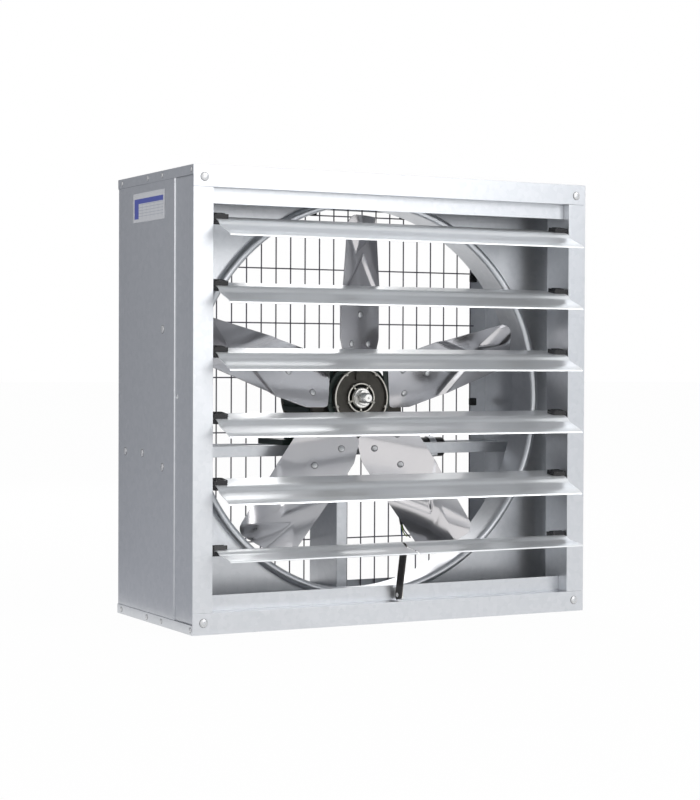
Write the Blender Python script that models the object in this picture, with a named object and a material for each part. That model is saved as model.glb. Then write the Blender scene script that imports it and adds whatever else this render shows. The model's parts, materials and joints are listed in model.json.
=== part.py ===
"""Square galvanised exhaust fan: a sheet steel box with six gravity louvres in front, a five-blade
fan wheel on a foot-mounted motor, and a welded wire guard behind. Metres, +Z up, air leaves along -Y.
The origin is the middle of the box's underside."""

import math

import bmesh
import bpy
from mathutils import Matrix, Vector

for old_object in list(bpy.data.objects):
    bpy.data.objects.remove(old_object, do_unlink=True)

# Box
box_width = 0.800
box_height = 0.800
sheet = 0.0012
touch_gap = 0.0003
cut_overrun = 0.0020
lip_height = 0.017
front_lip = 0.018
rear_flange = 0.038
front_strip_recess = 0.0020
front_strip_depth = 0.085
cable_hole_from_front = 0.077
cable_hole_height = 0.405
cable_hole_radius = 0.0042

# Front frame, its stop strips and its side returns
flange_width = 0.037
frame_return = 0.020
jamb_depth = 0.072
stop_setback = 0.028
closing_gap = 0.0010
stop_height = 0.027

# Wire guard: its outer wires stand these distances inside the box's underside, top and sides
wire_size = 0.0030
guard_bottom = 0.0160
guard_top = 0.0490
guard_side = 0.0412
guard_columns = 24
guard_rows = 8
guard_stub = 0.009
guard_clip_size = 0.015
guard_clip_thickness = 0.004
guard_clip_height_shares = (0.155, 0.505, 0.845)
guard_clip_offset_shares = (-0.28, 0.0, 0.28)

# Louvres: distances behind, before and below the pivot, in the pose in which they stand open
louvre_count = 6
top_pivot_drop = 0.089
lowest_pivot_height = 0.143
pivot_setback = 0.012
louvre_end_gap = 0.0057
louvre_sheet = 0.0012
rear_leaf = 0.0460
rear_leaf_rise = 0.0060
ridge_reach = 0.0120
ridge_drop = 0.0020
step_reach = 0.0270
step_drop = 0.0130
tip_reach = 0.0700
tip_drop = 0.0300
tip_hem = 0.0030
lowest_louvre_deg = -14.0
closed_louvre_deg = 66.0

# Louvre end clips and their pins, which turn in holes in the frame
clip_width = 0.028
clip_front = 0.0105
clip_rear = 0.0150
clip_half_height = 0.0085
clip_end_gap = 0.0015
pin_radius = 0.0035
pin_reach = 0.0040
running_gap = 0.0003

# Stay lever under the lowest louvre, its bracket, its rivet and the louvre's notch for it
lever_x = 0.008
lever_setback = 0.012
lever_height = 0.048
lever_length = 0.0976
lever_half_width = 0.0105
lever_thickness = 0.0030
lever_lean_deg = 12.0
lever_toe_back = 0.0057
lever_toe_drop = 0.0110
lever_heel_front = 0.0091
lever_heel_drop = 0.0042
lever_rivet_radius = 0.0022
lever_rivet_head = 0.0042
lever_rivet_height = 0.0014
bracket_sheet = 0.0015
bracket_top = 0.0600
bracket_low = 0.0395
bracket_nose = 0.0075
bracket_base = 0.0160
notch_width = 0.0080
notch_end = 0.0085

# Venturi panel and ring
venturi_from_front = 0.120
venturi_flange = 0.027
throat_to_wall = 0.047
ring_bead = 0.0075
ring_length = 0.055

# Fan wheel
blade_count = 5
fan_pitch_deg = 25.0
blade_twist_deg = 9.0
venturi_to_wheel = 0.035
blade_sheet = 0.0018
blade_root = 0.066
blade_shoulder = 0.110
blade_tip_gap = 0.016
blade_half_root = 0.044
blade_half = 0.059
blade_half_tip = 0.055
blade_corner = 0.020
blade_camber = 0.007
arm_sheet = 0.0030
arm_root = 0.0575
arm_shoulder = 0.104
arm_end = 0.172
arm_half_root = 0.036
arm_half_end = 0.014
rivet_radius = 0.0055
rivet_head = 0.0022
rivet_inner = 0.100
rivet_spread = 0.025
rivet_outer = 0.154
hub_disc_radius = 0.0655
hub_disc_thickness = 0.0050

# Hub casting, shaft and flanged nut
casting_radius = 0.056
casting_height = 0.012
casting_rim = 0.0032
casting_floor = 0.0045
collar_radius = 0.028
collar_wall = 0.0030
collar_height = 0.011
boss_radius = 0.0195
boss_height = 0.013
collar_spokes = 5
spoke_width = 0.0035
block_low = 0.033
block_high = 0.048
block_width = 0.020
block_height = 0.010
shaft_radius = 0.0095
shaft_nose = 0.016
shaft_chamfer = 0.0025
nut_radius = 0.0150
nut_height = 0.0090
nut_flange_radius = 0.0180
nut_flange_height = 0.0020

# Motor
wheel_to_motor = 0.014
motor_radius = 0.084
motor_body_length = 0.107
motor_rib_count = 28
motor_rib_height = 0.006
motor_wall = 0.005
motor_to_guard = 0.0110
shaft_height = 0.0887
front_bell_length = 0.022
rear_bell_length = 0.019
bell_radius = 0.080
bell_face_radius = 0.062
bearing_hub_radius = 0.030
front_hub_length = 0.010
rear_hub_length = 0.005
bearing_radius = 0.0235
bearing_width = 0.014
bearing_lip = 0.002
core_length = 0.075
rotor_core_radius = 0.044
air_gap = 0.0005
foot_inner = 0.066
foot_outer = 0.124
foot_offset = 0.017
foot_thickness = 0.010
foot_web = 0.009
foot_web_drop = 0.036
motor_bolt_x = 0.106
motor_bolt_radius = 0.0040
motor_bolt_head = 0.0080
motor_bolt_head_height = 0.0060

# Terminal box and gland
terminal_pad = 0.020
terminal_pad_reach = 0.006
terminal_size = 0.066
terminal_depth = 0.036
terminal_wall = 0.003
terminal_lid = 0.004
terminal_screw_radius = 0.0035
terminal_screw_inset = 0.008
gland_radius = 0.0085
gland_length = 0.014
gland_x = 0.108

# Motor lead, from the terminal box's gland down to its bare end, and its three cores
lead_radius = 0.0035
lead_spacing = 0.009
core_radius = 0.0011
core_spacing = 0.005
lead_route = (
    (0.1080, 0.0820, 0.3664),
    (0.1080, 0.0820, 0.3590),
    (0.1080, 0.0820, 0.3500),
    (0.1092, 0.0820, 0.3430),
    (0.1160, 0.0820, 0.3350),
    (0.1280, 0.0820, 0.3280),
    (0.1370, 0.0820, 0.3120),
    (0.1390, 0.0820, 0.2880),
    (0.1410, 0.0820, 0.2500),
    (0.1440, 0.0830, 0.2100),
    (0.1475, 0.0840, 0.1800),
    (0.1536, 0.0850, 0.1518),
)
black_core_route = (
    (0.1551, 0.0850, 0.1512), (0.1568, 0.0850, 0.1440), (0.1635, 0.0845, 0.1340), (0.1725, 0.0840, 0.1250),
)
blue_core_route = (
    (0.1528, 0.0863, 0.1512), (0.1533, 0.0868, 0.1430), (0.1540, 0.0870, 0.1350), (0.1555, 0.0870, 0.1255),
)
green_core_route = (
    (0.1528, 0.0837, 0.1512), (0.1540, 0.0828, 0.1430), (0.1580, 0.0820, 0.1330), (0.1640, 0.0815, 0.1280),
)

# Run capacitor and its clamp
capacitor_radius = 0.0190
capacitor_length = 0.056
capacitor_x = 0.218
capacitor_rise = 0.0090
capacitor_rim = 0.0020
clamp_width = 0.014
clamp_sheet = 0.0012
clamp_ear = 0.016
clamp_steps = 12

# Motor rails and post
rail_height = 0.020
rail_width = 0.024
rail_sheet = 0.0024
rail_spacing = 0.082
post_web = 0.112
post_flange = 0.022

# Screws, rivets and the blank data plate
screw_radius = 0.0068
screw_height = 0.0026
screw_inset = 0.0205
panel_rivet_radius = 0.0050
panel_rivet_height = 0.0016
venturi_rivet_setback = 0.019
venturi_rivet_rise = 0.122
venturi_rivet_drop = 0.120
lip_rivet_radius = 0.0035
lip_rivet_front = 0.010
lip_rivet_middle = 0.206
lip_rivet_rear = 0.020
plate_from_front = 0.129
plate_width = 0.147
plate_height = 0.052
plate_thickness = 0.0006
plate_drop = 0.032

# Roundness of the turned pieces
ring_steps = 48
bead_steps = 4
disc_steps = 28
shaft_steps = 20
small_steps = 10
hexagon = 6
blade_columns = 4
blade_corner_shares = (0.0, 0.5, 1.0)
blade_middle_rows = 3
smooth_angle = math.radians(35.0)
head_radius_share = 0.82
head_height_share = 0.7
rib_shares = (0.0, 0.42, 0.55, 0.87)

# Places worked out from the sizes
wheel_from_front = venturi_from_front + venturi_to_wheel
wheel_to_body = hub_disc_thickness / 2 + wheel_to_motor + front_hub_length + front_bell_length
body_to_guard = motor_body_length + rear_bell_length + rear_hub_length + motor_to_guard
box_depth = wheel_from_front + wheel_to_body + body_to_guard + wire_size + touch_gap + sheet
half_width = box_width / 2
front_y = -box_depth / 2
rear_y = box_depth / 2
axis_z = box_height / 2
panel_x = half_width - sheet - touch_gap
panel_low = sheet + touch_gap
panel_high = box_height - sheet - touch_gap
behind_front = front_y + sheet + touch_gap
inner_wall_x = panel_x - sheet - touch_gap
inner_wall_z = box_height / 2 - sheet - touch_gap
opening_half = half_width - flange_width
pivot_y = front_y + pivot_setback
louvre_pitch = (box_height - top_pivot_drop - lowest_pivot_height) / (louvre_count - 1)
louvre_half = opening_half - louvre_end_gap
clip_outer = opening_half - clip_end_gap
leaf_slope = math.atan2(rear_leaf_rise + ridge_drop, rear_leaf + ridge_reach)
leaf_middle = -ridge_drop + ridge_reach * math.tan(leaf_slope) - louvre_sheet / 2
closed_lean = math.radians(closed_louvre_deg) + leaf_slope
closed_reach = (top_pivot_drop - flange_width - stop_height) / math.tan(closed_lean)
top_stop_setback = pivot_setback + closed_reach - closing_gap - sheet
wheel_y = front_y + wheel_from_front
throat_radius = min(half_width, axis_z) - throat_to_wall
blade_tip = throat_radius - blade_tip_gap
fan_pitch = math.radians(fan_pitch_deg)
blade_twist = math.radians(blade_twist_deg)
blade_lift = arm_sheet / 2 + touch_gap
body_front_y = wheel_y + wheel_to_body
body_rear_y = body_front_y + motor_body_length
body_middle_y = (body_front_y + body_rear_y) / 2
feet_middle_y = body_middle_y + foot_offset
front_rail_y = feet_middle_y - rail_spacing / 2
rear_rail_y = feet_middle_y + rail_spacing / 2
rail_top = axis_z - shaft_height - touch_gap
rail_middle_z = rail_top - rail_height / 2
foot_length = rail_spacing + rail_width
foot_low = rail_top + touch_gap
foot_top = foot_low + foot_thickness
fit_bore = shaft_radius + touch_gap
running_bore = shaft_radius + running_gap
housing_bore = motor_radius - motor_rib_height - motor_wall
terminal_x = motor_radius + terminal_pad_reach + touch_gap
guard_back = rear_y - sheet - touch_gap
guard_front = guard_back - wire_size
venturi_rivet_y = front_y + venturi_from_front + venturi_rivet_setback
panel_rivets = (
    (venturi_rivet_y, axis_z + venturi_rivet_rise), (venturi_rivet_y, axis_z - venturi_rivet_drop),
    (front_rail_y, rail_middle_z), (rear_rail_y, rail_middle_z),
)
lip_rivets = (
    front_y + lip_rivet_front, venturi_rivet_y, front_y + lip_rivet_middle, rear_y - lip_rivet_rear,
)


def make_material(name, colour, roughness, metallic):
    material = bpy.data.materials.new(name)
    material.use_nodes = True
    shader = material.node_tree.nodes["Principled BSDF"]
    shader.inputs["Base Color"].default_value = (*colour, 1.0)
    shader.inputs["Roughness"].default_value = roughness
    shader.inputs["Metallic"].default_value = metallic
    material.diffuse_color = (*colour, 1.0)
    return material


galvanised = make_material("galvanised_sheet", (0.62, 0.65, 0.68), 0.35, 1.0)
louvre_metal = make_material("aluminium_louvre", (0.70, 0.72, 0.74), 0.28, 1.0)
blade_metal = make_material("stainless_blade", (0.60, 0.59, 0.58), 0.18, 1.0)
black_plastic = make_material("black_plastic", (0.02, 0.02, 0.022), 0.5, 0.0)
cast_metal = make_material("dark_casting", (0.10, 0.10, 0.095), 0.55, 0.6)
zinc = make_material("zinc_fastener", (0.70, 0.71, 0.72), 0.3, 1.0)
dark_steel = make_material("dark_steel", (0.06, 0.055, 0.05), 0.5, 0.7)
guard_wire = make_material("guard_wire", (0.25, 0.25, 0.27), 0.5, 0.7)
motor_paint = make_material("motor_paint", (0.05, 0.09, 0.08), 0.5, 0.2)
plate_film = make_material("data_plate", (0.78, 0.79, 0.80), 0.5, 0.0)
lead_rubber = make_material("lead_rubber", (0.03, 0.03, 0.03), 0.6, 0.0)
blue_core = make_material("blue_core", (0.05, 0.12, 0.42), 0.5, 0.0)
green_core = make_material("green_core", (0.25, 0.42, 0.06), 0.5, 0.0)


def finish(name, bm, material, smooth=False):
    """Makes a named object of a mesh, with its faces pointing out."""
    bmesh.ops.recalc_face_normals(bm, faces=bm.faces)
    mesh = bpy.data.meshes.new(name)
    bm.to_mesh(mesh)
    bm.free()
    if smooth:
        mesh.shade_smooth()
        mesh.set_sharp_from_angle(angle=smooth_angle)
    mesh.materials.append(material)
    obj = bpy.data.objects.new(name, mesh)
    bpy.context.scene.collection.objects.link(obj)
    return obj


def place(first, second, along, axis):
    """A point of a section, at a distance along the axis that the section is extruded on."""
    if axis == "X":
        return (along, first, second)
    if axis == "Y":
        return (first, along, second)
    return (first, second, along)


def add_prism(bm, section, start, end, axis):
    low = [bm.verts.new(place(a, b, start, axis)) for a, b in section]
    high = [bm.verts.new(place(a, b, end, axis)) for a, b in section]
    bm.faces.new(low)
    bm.faces.new(list(reversed(high)))
    for i in range(len(section)):
        j = (i + 1) % len(section)
        bm.faces.new((low[i], high[i], high[j], low[j]))


def add_box(bm, low, high):
    section = [(low[0], low[1]), (high[0], low[1]), (high[0], high[1]), (low[0], high[1])]
    add_prism(bm, section, low[2], high[2], "Z")


def box(name, low, high, material):
    bm = bmesh.new()
    add_box(bm, low, high)
    return finish(name, bm, material)


def thicken(path, thickness):
    """A bent sheet's section: the path, and the path moved to its left by the sheet's thickness."""
    points = [Vector(p) for p in path]
    moved = []
    for i, point in enumerate(points):
        before = (point - points[i - 1]).normalized() if i else None
        after = (points[i + 1] - point).normalized() if i + 1 < len(points) else None
        before = before or after
        after = after or before
        mitre = Vector((-before.y - after.y, before.x + after.x))
        moved.append(point + mitre * (2 * thickness / mitre.length_squared))
    return [tuple(p) for p in points] + [tuple(p) for p in reversed(moved)]


def bent_sheet(name, path, thickness, start, end, axis, material=galvanised):
    bm = bmesh.new()
    add_prism(bm, thicken(path, thickness), start, end, axis)
    return finish(name, bm, material)


def add_turned(bm, profile, centre, direction, steps):
    """A closed profile of (radius, distance along direction), turned round its axis."""
    along = Vector(direction).normalized()
    side = along.orthogonal().normalized()
    other = along.cross(side)
    rings = []
    for radius, distance in profile:
        middle = Vector(centre) + along * distance
        if radius == 0:
            rings.append([bm.verts.new(middle)])
            continue
        turns = [2 * math.pi * k / steps for k in range(steps)]
        spokes = [(side * math.cos(turn) + other * math.sin(turn)) * radius for turn in turns]
        rings.append([bm.verts.new(middle + spoke) for spoke in spokes])
    following = rings[1:] + (rings[:1] if len(rings[0]) > 1 else [])
    for first, second in zip(rings, following):
        if len(first) == 1 and len(second) == 1:
            continue
        for k in range(steps):
            n = (k + 1) % steps
            corners = [first[k % len(first)], first[n % len(first)]]
            corners += [second[n % len(second)], second[k % len(second)]]
            bm.faces.new(list(dict.fromkeys(corners)))


def rod(radius, low, high):
    """The profile of a plain disc or rod."""
    return [(0, low), (radius, low), (radius, high), (0, high)]


def tube(outer, inner, low, high):
    return [(outer, low), (outer, high), (inner, high), (inner, low)]


def turned(name, profile, centre, direction, steps, material):
    bm = bmesh.new()
    add_turned(bm, profile, centre, direction, steps)
    return finish(name, bm, material, True)


def add_head(bm, centre, direction, radius, height):
    """A fastener's low domed head, sunk into the sheet that it stands on so that the two can be joined."""
    sunk = sheet / 2
    shoulder = (radius * head_radius_share, height * head_height_share)
    add_turned(bm, [(0, -sunk), (radius, -sunk), shoulder, (0, height)], centre, direction, small_steps)


def boolean(target, tool, operation):
    """Cuts or joins a helper shape, which is left out of the model."""
    tool.hide_render = True
    tool.display_type = "WIRE"
    tool.hide_set(True)
    modifier = target.modifiers.new(operation.lower() + "_" + tool.name, "BOOLEAN")
    modifier.operation = operation
    modifier.solver = "EXACT"
    modifier.object = tool


def set_origin(obj, point):
    """Moves an object's origin to a point of the world and leaves its shape where it is."""
    obj.data.transform(Matrix.Translation(-Vector(point)))
    obj.location = point


# Box panels


def side_panel(name, side):
    """A side sheet: a narrow front lip, a recessed front strip, and a wide flange behind."""
    path = [
        (side * (panel_x - front_lip), behind_front),
        (side * (panel_x - front_strip_recess), behind_front),
        (side * (panel_x - front_strip_recess), front_y + front_strip_depth),
        (side * panel_x, front_y + front_strip_depth + front_strip_recess),
        (side * panel_x, rear_y),
        (side * (panel_x - rear_flange), rear_y),
    ]
    panel = bent_sheet(name, path, side * sheet, panel_low, panel_high, "Z")
    rivets = bmesh.new()
    for rivet_y, rivet_z in panel_rivets:
        centre = (side * panel_x, rivet_y, rivet_z)
        add_head(rivets, centre, (side, 0, 0), panel_rivet_radius, panel_rivet_height)
    boolean(panel, finish(name + "_rivets", rivets, zinc, True), "UNION")
    return panel


def cover_panel(name, outer_z, inward):
    """The top or bottom sheet: lips folded over both sides, and a flange behind."""
    lip_z = outer_z + inward * lip_height
    path = [(-half_width, lip_z), (-half_width, outer_z), (half_width, outer_z), (half_width, lip_z)]
    panel = bent_sheet(name, path, inward * sheet, behind_front, rear_y, "Y")
    reach = panel_x - rear_flange - touch_gap
    low_z, high_z = sorted((outer_z, outer_z + inward * rear_flange))
    low = (-reach, rear_y - sheet, low_z)
    boolean(panel, box(name + "_flange", low, (reach, rear_y, high_z), galvanised), "UNION")
    rivets = bmesh.new()
    for side in (-1, 1):
        for rivet_y in lip_rivets:
            centre = (side * half_width, rivet_y, outer_z + inward * lip_height / 2)
            add_head(rivets, centre, (side, 0, 0), lip_rivet_radius, panel_rivet_height)
    boolean(panel, finish(name + "_rivets", rivets, zinc, True), "UNION")


left_panel = side_panel("left_side_panel", -1)
side_panel("right_side_panel", 1)
cover_panel("bottom_panel", 0, 1)
cover_panel("top_panel", box_height, -1)
hole_start = (-half_width, front_y + cable_hole_from_front, cable_hole_height)
hole_shape = rod(cable_hole_radius, 0, front_lip)
cable_hole = turned("cable_hole", hole_shape, hole_start, (1, 0, 0), small_steps, zinc)
boolean(left_panel, cable_hole, "DIFFERENCE")


# Front frame


def frame_bar(name, outer_z, inward, setback):
    """A bar across the front, folded back to a ledge and then to the strip that the louvres meet."""
    flange_z = outer_z + inward * flange_width
    low_z, high_z = sorted((outer_z, flange_z))
    bar = box(name, (-half_width, front_y, low_z), (half_width, front_y + sheet, high_z), galvanised)
    path = [
        (front_y, flange_z),
        (front_y + setback, flange_z),
        (front_y + setback, flange_z + inward * stop_height),
    ]
    reach = opening_half - touch_gap
    strip = bent_sheet(name + "_strip", path, -inward * sheet, -reach, reach, "X")
    boolean(bar, strip, "UNION")
    screws = bmesh.new()
    for side in (-1, 1):
        centre = (side * (half_width - screw_inset), front_y, outer_z + inward * screw_inset)
        add_head(screws, centre, (0, -1, 0), screw_radius, screw_height)
    boolean(bar, finish(name + "_screws", screws, zinc, True), "UNION")


def frame_jamb(name, side):
    """An upright of the front frame: a return over the side panel, the face, and the inner wall."""
    path = [
        (side * half_width, front_y + frame_return),
        (side * half_width, front_y),
        (side * opening_half, front_y),
        (side * opening_half, front_y + jamb_depth),
    ]
    low_z = flange_width + touch_gap
    high_z = box_height - flange_width - touch_gap
    return bent_sheet(name, path, -side * sheet, low_z, high_z, "Z")


frame_bar("front_frame_bottom", 0, 1, stop_setback)
frame_bar("front_frame_top", box_height, -1, top_stop_setback)
left_jamb = frame_jamb("front_frame_left", -1)
right_jamb = frame_jamb("front_frame_right", 1)


# Louvres


def louvre_height(number):
    return box_height - top_pivot_drop - number * louvre_pitch


def to_world(point, number):
    """World Y and Z of a point given by its distances behind and above the louvre's pivot."""
    angle = math.radians(lowest_louvre_deg) if number == louvre_count - 1 else 0
    y, z = point
    world_y = pivot_y + y * math.cos(angle) - z * math.sin(angle)
    return world_y, louvre_height(number) + y * math.sin(angle) + z * math.cos(angle)


def louvre_path():
    """The upper face of a louvre, from its rear edge to its folded tip."""
    slope = math.atan2(tip_drop - step_drop, tip_reach - step_reach)
    return [
        (rear_leaf, rear_leaf_rise),
        (-ridge_reach, -ridge_drop),
        (-step_reach, -step_drop),
        (-tip_reach, -tip_drop),
        (-tip_reach + tip_hem * math.sin(slope), -tip_drop - tip_hem * math.cos(slope)),
    ]


def louvre(number):
    bm = bmesh.new()
    section = [to_world(point, number) for point in thicken(louvre_path(), louvre_sheet)]
    add_prism(bm, section, -louvre_half, louvre_half, "X")
    leaf = finish(f"louvre_{number + 1}", bm, louvre_metal)
    if number == louvre_count - 1:
        cutter = bmesh.new()
        front_end = -tip_reach - tip_hem
        low_end = -tip_drop - 2 * tip_hem
        outline = [(front_end, low_end), (-notch_end, low_end), (-notch_end, tip_hem), (front_end, tip_hem)]
        notch_section = [to_world(point, number) for point in outline]
        add_prism(cutter, notch_section, lever_x - notch_width / 2, lever_x + notch_width / 2, "X")
        boolean(leaf, finish("louvre_notch", cutter, louvre_metal), "DIFFERENCE")
    set_origin(leaf, (0, pivot_y, louvre_height(number)))


def clip_point(along, off_leaf, number):
    """World Y and Z of a point given by its distances along the leaf and off the leaf's middle."""
    y = along * math.cos(leaf_slope) - off_leaf * math.sin(leaf_slope)
    z = leaf_middle + along * math.sin(leaf_slope) + off_leaf * math.cos(leaf_slope)
    return to_world((y, z), number)


def louvre_clip(number, side, word):
    """The clip at one end of a louvre: jaws over and under the leaf, and a pin out into the frame."""
    bm = bmesh.new()
    slot = louvre_sheet / 2 + touch_gap
    outer = side * clip_outer
    inner = side * (clip_outer - clip_width)
    web = side * (louvre_half + touch_gap)
    outline = [
        (inner, clip_half_height), (outer, clip_half_height),
        (outer, -clip_half_height), (inner, -clip_half_height),
        (inner, -slot), (web, -slot), (web, slot), (inner, slot),
    ]
    ends = []
    for along in (-clip_front, clip_rear):
        ring = [bm.verts.new((x, *clip_point(along, off, number))) for x, off in outline]
        bm.faces.new(ring)
        ends.append(ring)
    for i in range(len(outline)):
        j = (i + 1) % len(outline)
        bm.faces.new((ends[0][i], ends[0][j], ends[1][j], ends[1][i]))
    clip = finish(f"louvre_clip_{word}_{number + 1}", bm, black_plastic)
    pivot_z = louvre_height(number)
    pin_start = (side * (louvre_half + clip_end_gap), pivot_y, pivot_z)
    pin_length = opening_half + pin_reach - louvre_half - clip_end_gap
    pin_shape = rod(pin_radius, 0, pin_length)
    pin = turned(clip.name + "_pin", pin_shape, pin_start, (side, 0, 0), small_steps, black_plastic)
    boolean(clip, pin, "UNION")
    set_origin(clip, (0, pivot_y, pivot_z))


for louvre_number in range(louvre_count):
    louvre(louvre_number)
for side_sign, side_word, jamb in ((-1, "left", left_jamb), (1, "right", right_jamb)):
    holes = bmesh.new()
    shape = rod(pin_radius + running_gap, 0, sheet + 2 * cut_overrun)
    for louvre_number in range(louvre_count):
        louvre_clip(louvre_number, side_sign, side_word)
        start = (side_sign * (opening_half - cut_overrun), pivot_y, louvre_height(louvre_number))
        add_turned(holes, shape, start, (side_sign, 0, 0), small_steps)
    boolean(jamb, finish(jamb.name + "_holes", holes, zinc), "DIFFERENCE")


# Stay lever of the lowest louvre


def lever_outline():
    """The lever's side view before it leans: a round head above, a slanted foot below its rivet."""
    points = []
    head_z = lever_length - lever_half_width
    turns = small_steps // 2
    for k in range(turns + 1):
        turn = math.pi * k / turns
        points.append((lever_half_width * math.cos(turn), head_z + lever_half_width * math.sin(turn)))
    foot = [(-lever_half_width, 0), (-lever_heel_front, -lever_heel_drop), (lever_toe_back, -lever_toe_drop)]
    return points + foot + [(lever_half_width, 0)]


lever_pivot = (lever_x, front_y + lever_setback, lever_height)
lever_half = lever_thickness / 2
lever_mesh = bmesh.new()
add_prism(lever_mesh, lever_outline(), -lever_half, lever_half, "X")
lean = Matrix.Translation(lever_pivot) @ Matrix.Rotation(math.radians(lever_lean_deg), 4, "X")
bmesh.ops.transform(lever_mesh, matrix=lean, verts=lever_mesh.verts)
stay_lever = finish("stay_lever", lever_mesh, dark_steel)
set_origin(stay_lever, lever_pivot)

bracket_y = front_y + stop_setback - touch_gap
tab_x = lever_x + lever_half + touch_gap
tab_front = lever_pivot[1] - bracket_nose
tab_outline = [
    (bracket_y, bracket_low), (bracket_y, bracket_top), (bracket_y - bracket_sheet, bracket_top),
    (lever_pivot[1] - bracket_nose / 2, lever_height + bracket_nose),
    (tab_front, lever_height), (tab_front, bracket_low),
]
bracket_mesh = bmesh.new()
add_prism(bracket_mesh, tab_outline, tab_x, tab_x + bracket_sheet, "X")
stay_bracket = finish("stay_bracket", bracket_mesh, zinc)
base_low = (tab_x, bracket_y - bracket_sheet, bracket_low)
base_high = (tab_x + bracket_base, bracket_y, bracket_top)
boolean(stay_bracket, box("stay_bracket_base", base_low, base_high, zinc), "UNION")

shank_length = lever_thickness + bracket_sheet + 2 * touch_gap
rivet_profile = [
    (0, -lever_rivet_height), (lever_rivet_head, -lever_rivet_height), (lever_rivet_head, 0),
    (lever_rivet_radius, 0), (lever_rivet_radius, shank_length), (lever_rivet_head, shank_length),
    (lever_rivet_head, shank_length + lever_rivet_height), (0, shank_length + lever_rivet_height),
]
rivet_start = (lever_x - lever_half - touch_gap, lever_pivot[1], lever_height)
stay_rivet = turned("stay_rivet", rivet_profile, rivet_start, (1, 0, 0), small_steps, zinc)
boolean(stay_bracket, stay_rivet, "UNION")
lever_hole = rod(lever_rivet_radius + running_gap, -cut_overrun, lever_thickness + cut_overrun)
lever_cutter = turned("stay_lever_hole", lever_hole, rivet_start, (1, 0, 0), small_steps, zinc)
boolean(stay_lever, lever_cutter, "DIFFERENCE")


# Venturi panel and ring


def circle(radius):
    """One loop of points round the wheel's axis."""
    turns = [2 * math.pi * k / ring_steps for k in range(ring_steps)]
    return [(radius * math.cos(turn), radius * math.sin(turn)) for turn in turns]


def wall_outline(inset):
    """The box's inner walls less an inset, with a point in the direction of each point of the circle."""
    half_x = inner_wall_x - inset
    half_z = inner_wall_z - inset
    outline = []
    for across, up in circle(1):
        furthest = max(abs(across), abs(up))
        outline.append((half_x * across / furthest, half_z * up / furthest))
    return outline


def venturi_panel():
    """A flat plate with a round hole for the ring, and a flange round its edge."""
    bm = bmesh.new()
    plate_y = front_y + venturi_from_front
    edge_y = plate_y + venturi_flange
    hole = throat_radius + sheet + touch_gap
    outlines = (
        (plate_y, circle(hole)), (plate_y, wall_outline(0)), (edge_y, wall_outline(0)),
        (edge_y, wall_outline(sheet)), (plate_y + sheet, wall_outline(sheet)), (plate_y + sheet, circle(hole)),
    )
    loops = [[bm.verts.new((x, y, axis_z + z)) for x, z in outline] for y, outline in outlines]
    for first, second in zip(loops, loops[1:] + loops[:1]):
        for k in range(ring_steps):
            n = (k + 1) % ring_steps
            bm.faces.new((first[k], first[n], second[n], second[k]))
    finish("venturi_panel", bm, galvanised, True)


def venturi_ring():
    """A rolled collar through the panel, with a bead in front whose edge stands on the panel."""
    bead_y = venturi_from_front - ring_bead
    path = [(throat_radius, venturi_from_front + ring_length)]
    for k in range(bead_steps + 1):
        turn = math.pi * k / bead_steps
        radius = throat_radius + ring_bead * (1 - math.cos(turn))
        path.append((radius, bead_y - ring_bead * math.sin(turn)))
    path.append((throat_radius + 2 * ring_bead, venturi_from_front - touch_gap))
    centre = (0, front_y, axis_z)
    turned("venturi_ring", thicken(path, sheet), centre, (0, 1, 0), ring_steps, galvanised)


venturi_panel()
venturi_ring()


# Fan wheel


def blade_frame(number):
    """Takes a point given along the blade, across its chord and off its front to the world."""
    angle = math.pi / 2 - 2 * math.pi * number / blade_count
    along = Vector((math.cos(angle), 0, math.sin(angle)))
    clockwise = Vector((math.sin(angle), 0, -math.cos(angle)))
    chord = clockwise * math.cos(fan_pitch) + Vector((0, math.sin(fan_pitch), 0))
    frame = Matrix((along, chord, chord.cross(along))).transposed().to_4x4()
    frame.translation = Vector((0, wheel_y, axis_z))
    return frame


def blade_stations():
    """(distance from the axis, half chord) from the tapered root to the rounded tip corners."""
    plain = blade_tip - blade_corner
    stations = [(blade_root, blade_half_root), (blade_shoulder, blade_half)]
    for k in range(blade_middle_rows):
        share = k / blade_middle_rows
        half = blade_half + (blade_half_tip - blade_half) * share
        stations.append((arm_end + (plain - arm_end) * share, half))
    for share in blade_corner_shares:
        turn = math.pi / 2 * share
        inset = blade_corner * (1 - math.cos(turn))
        stations.append((plain + blade_corner * math.sin(turn), blade_half_tip - inset))
    return stations


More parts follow.
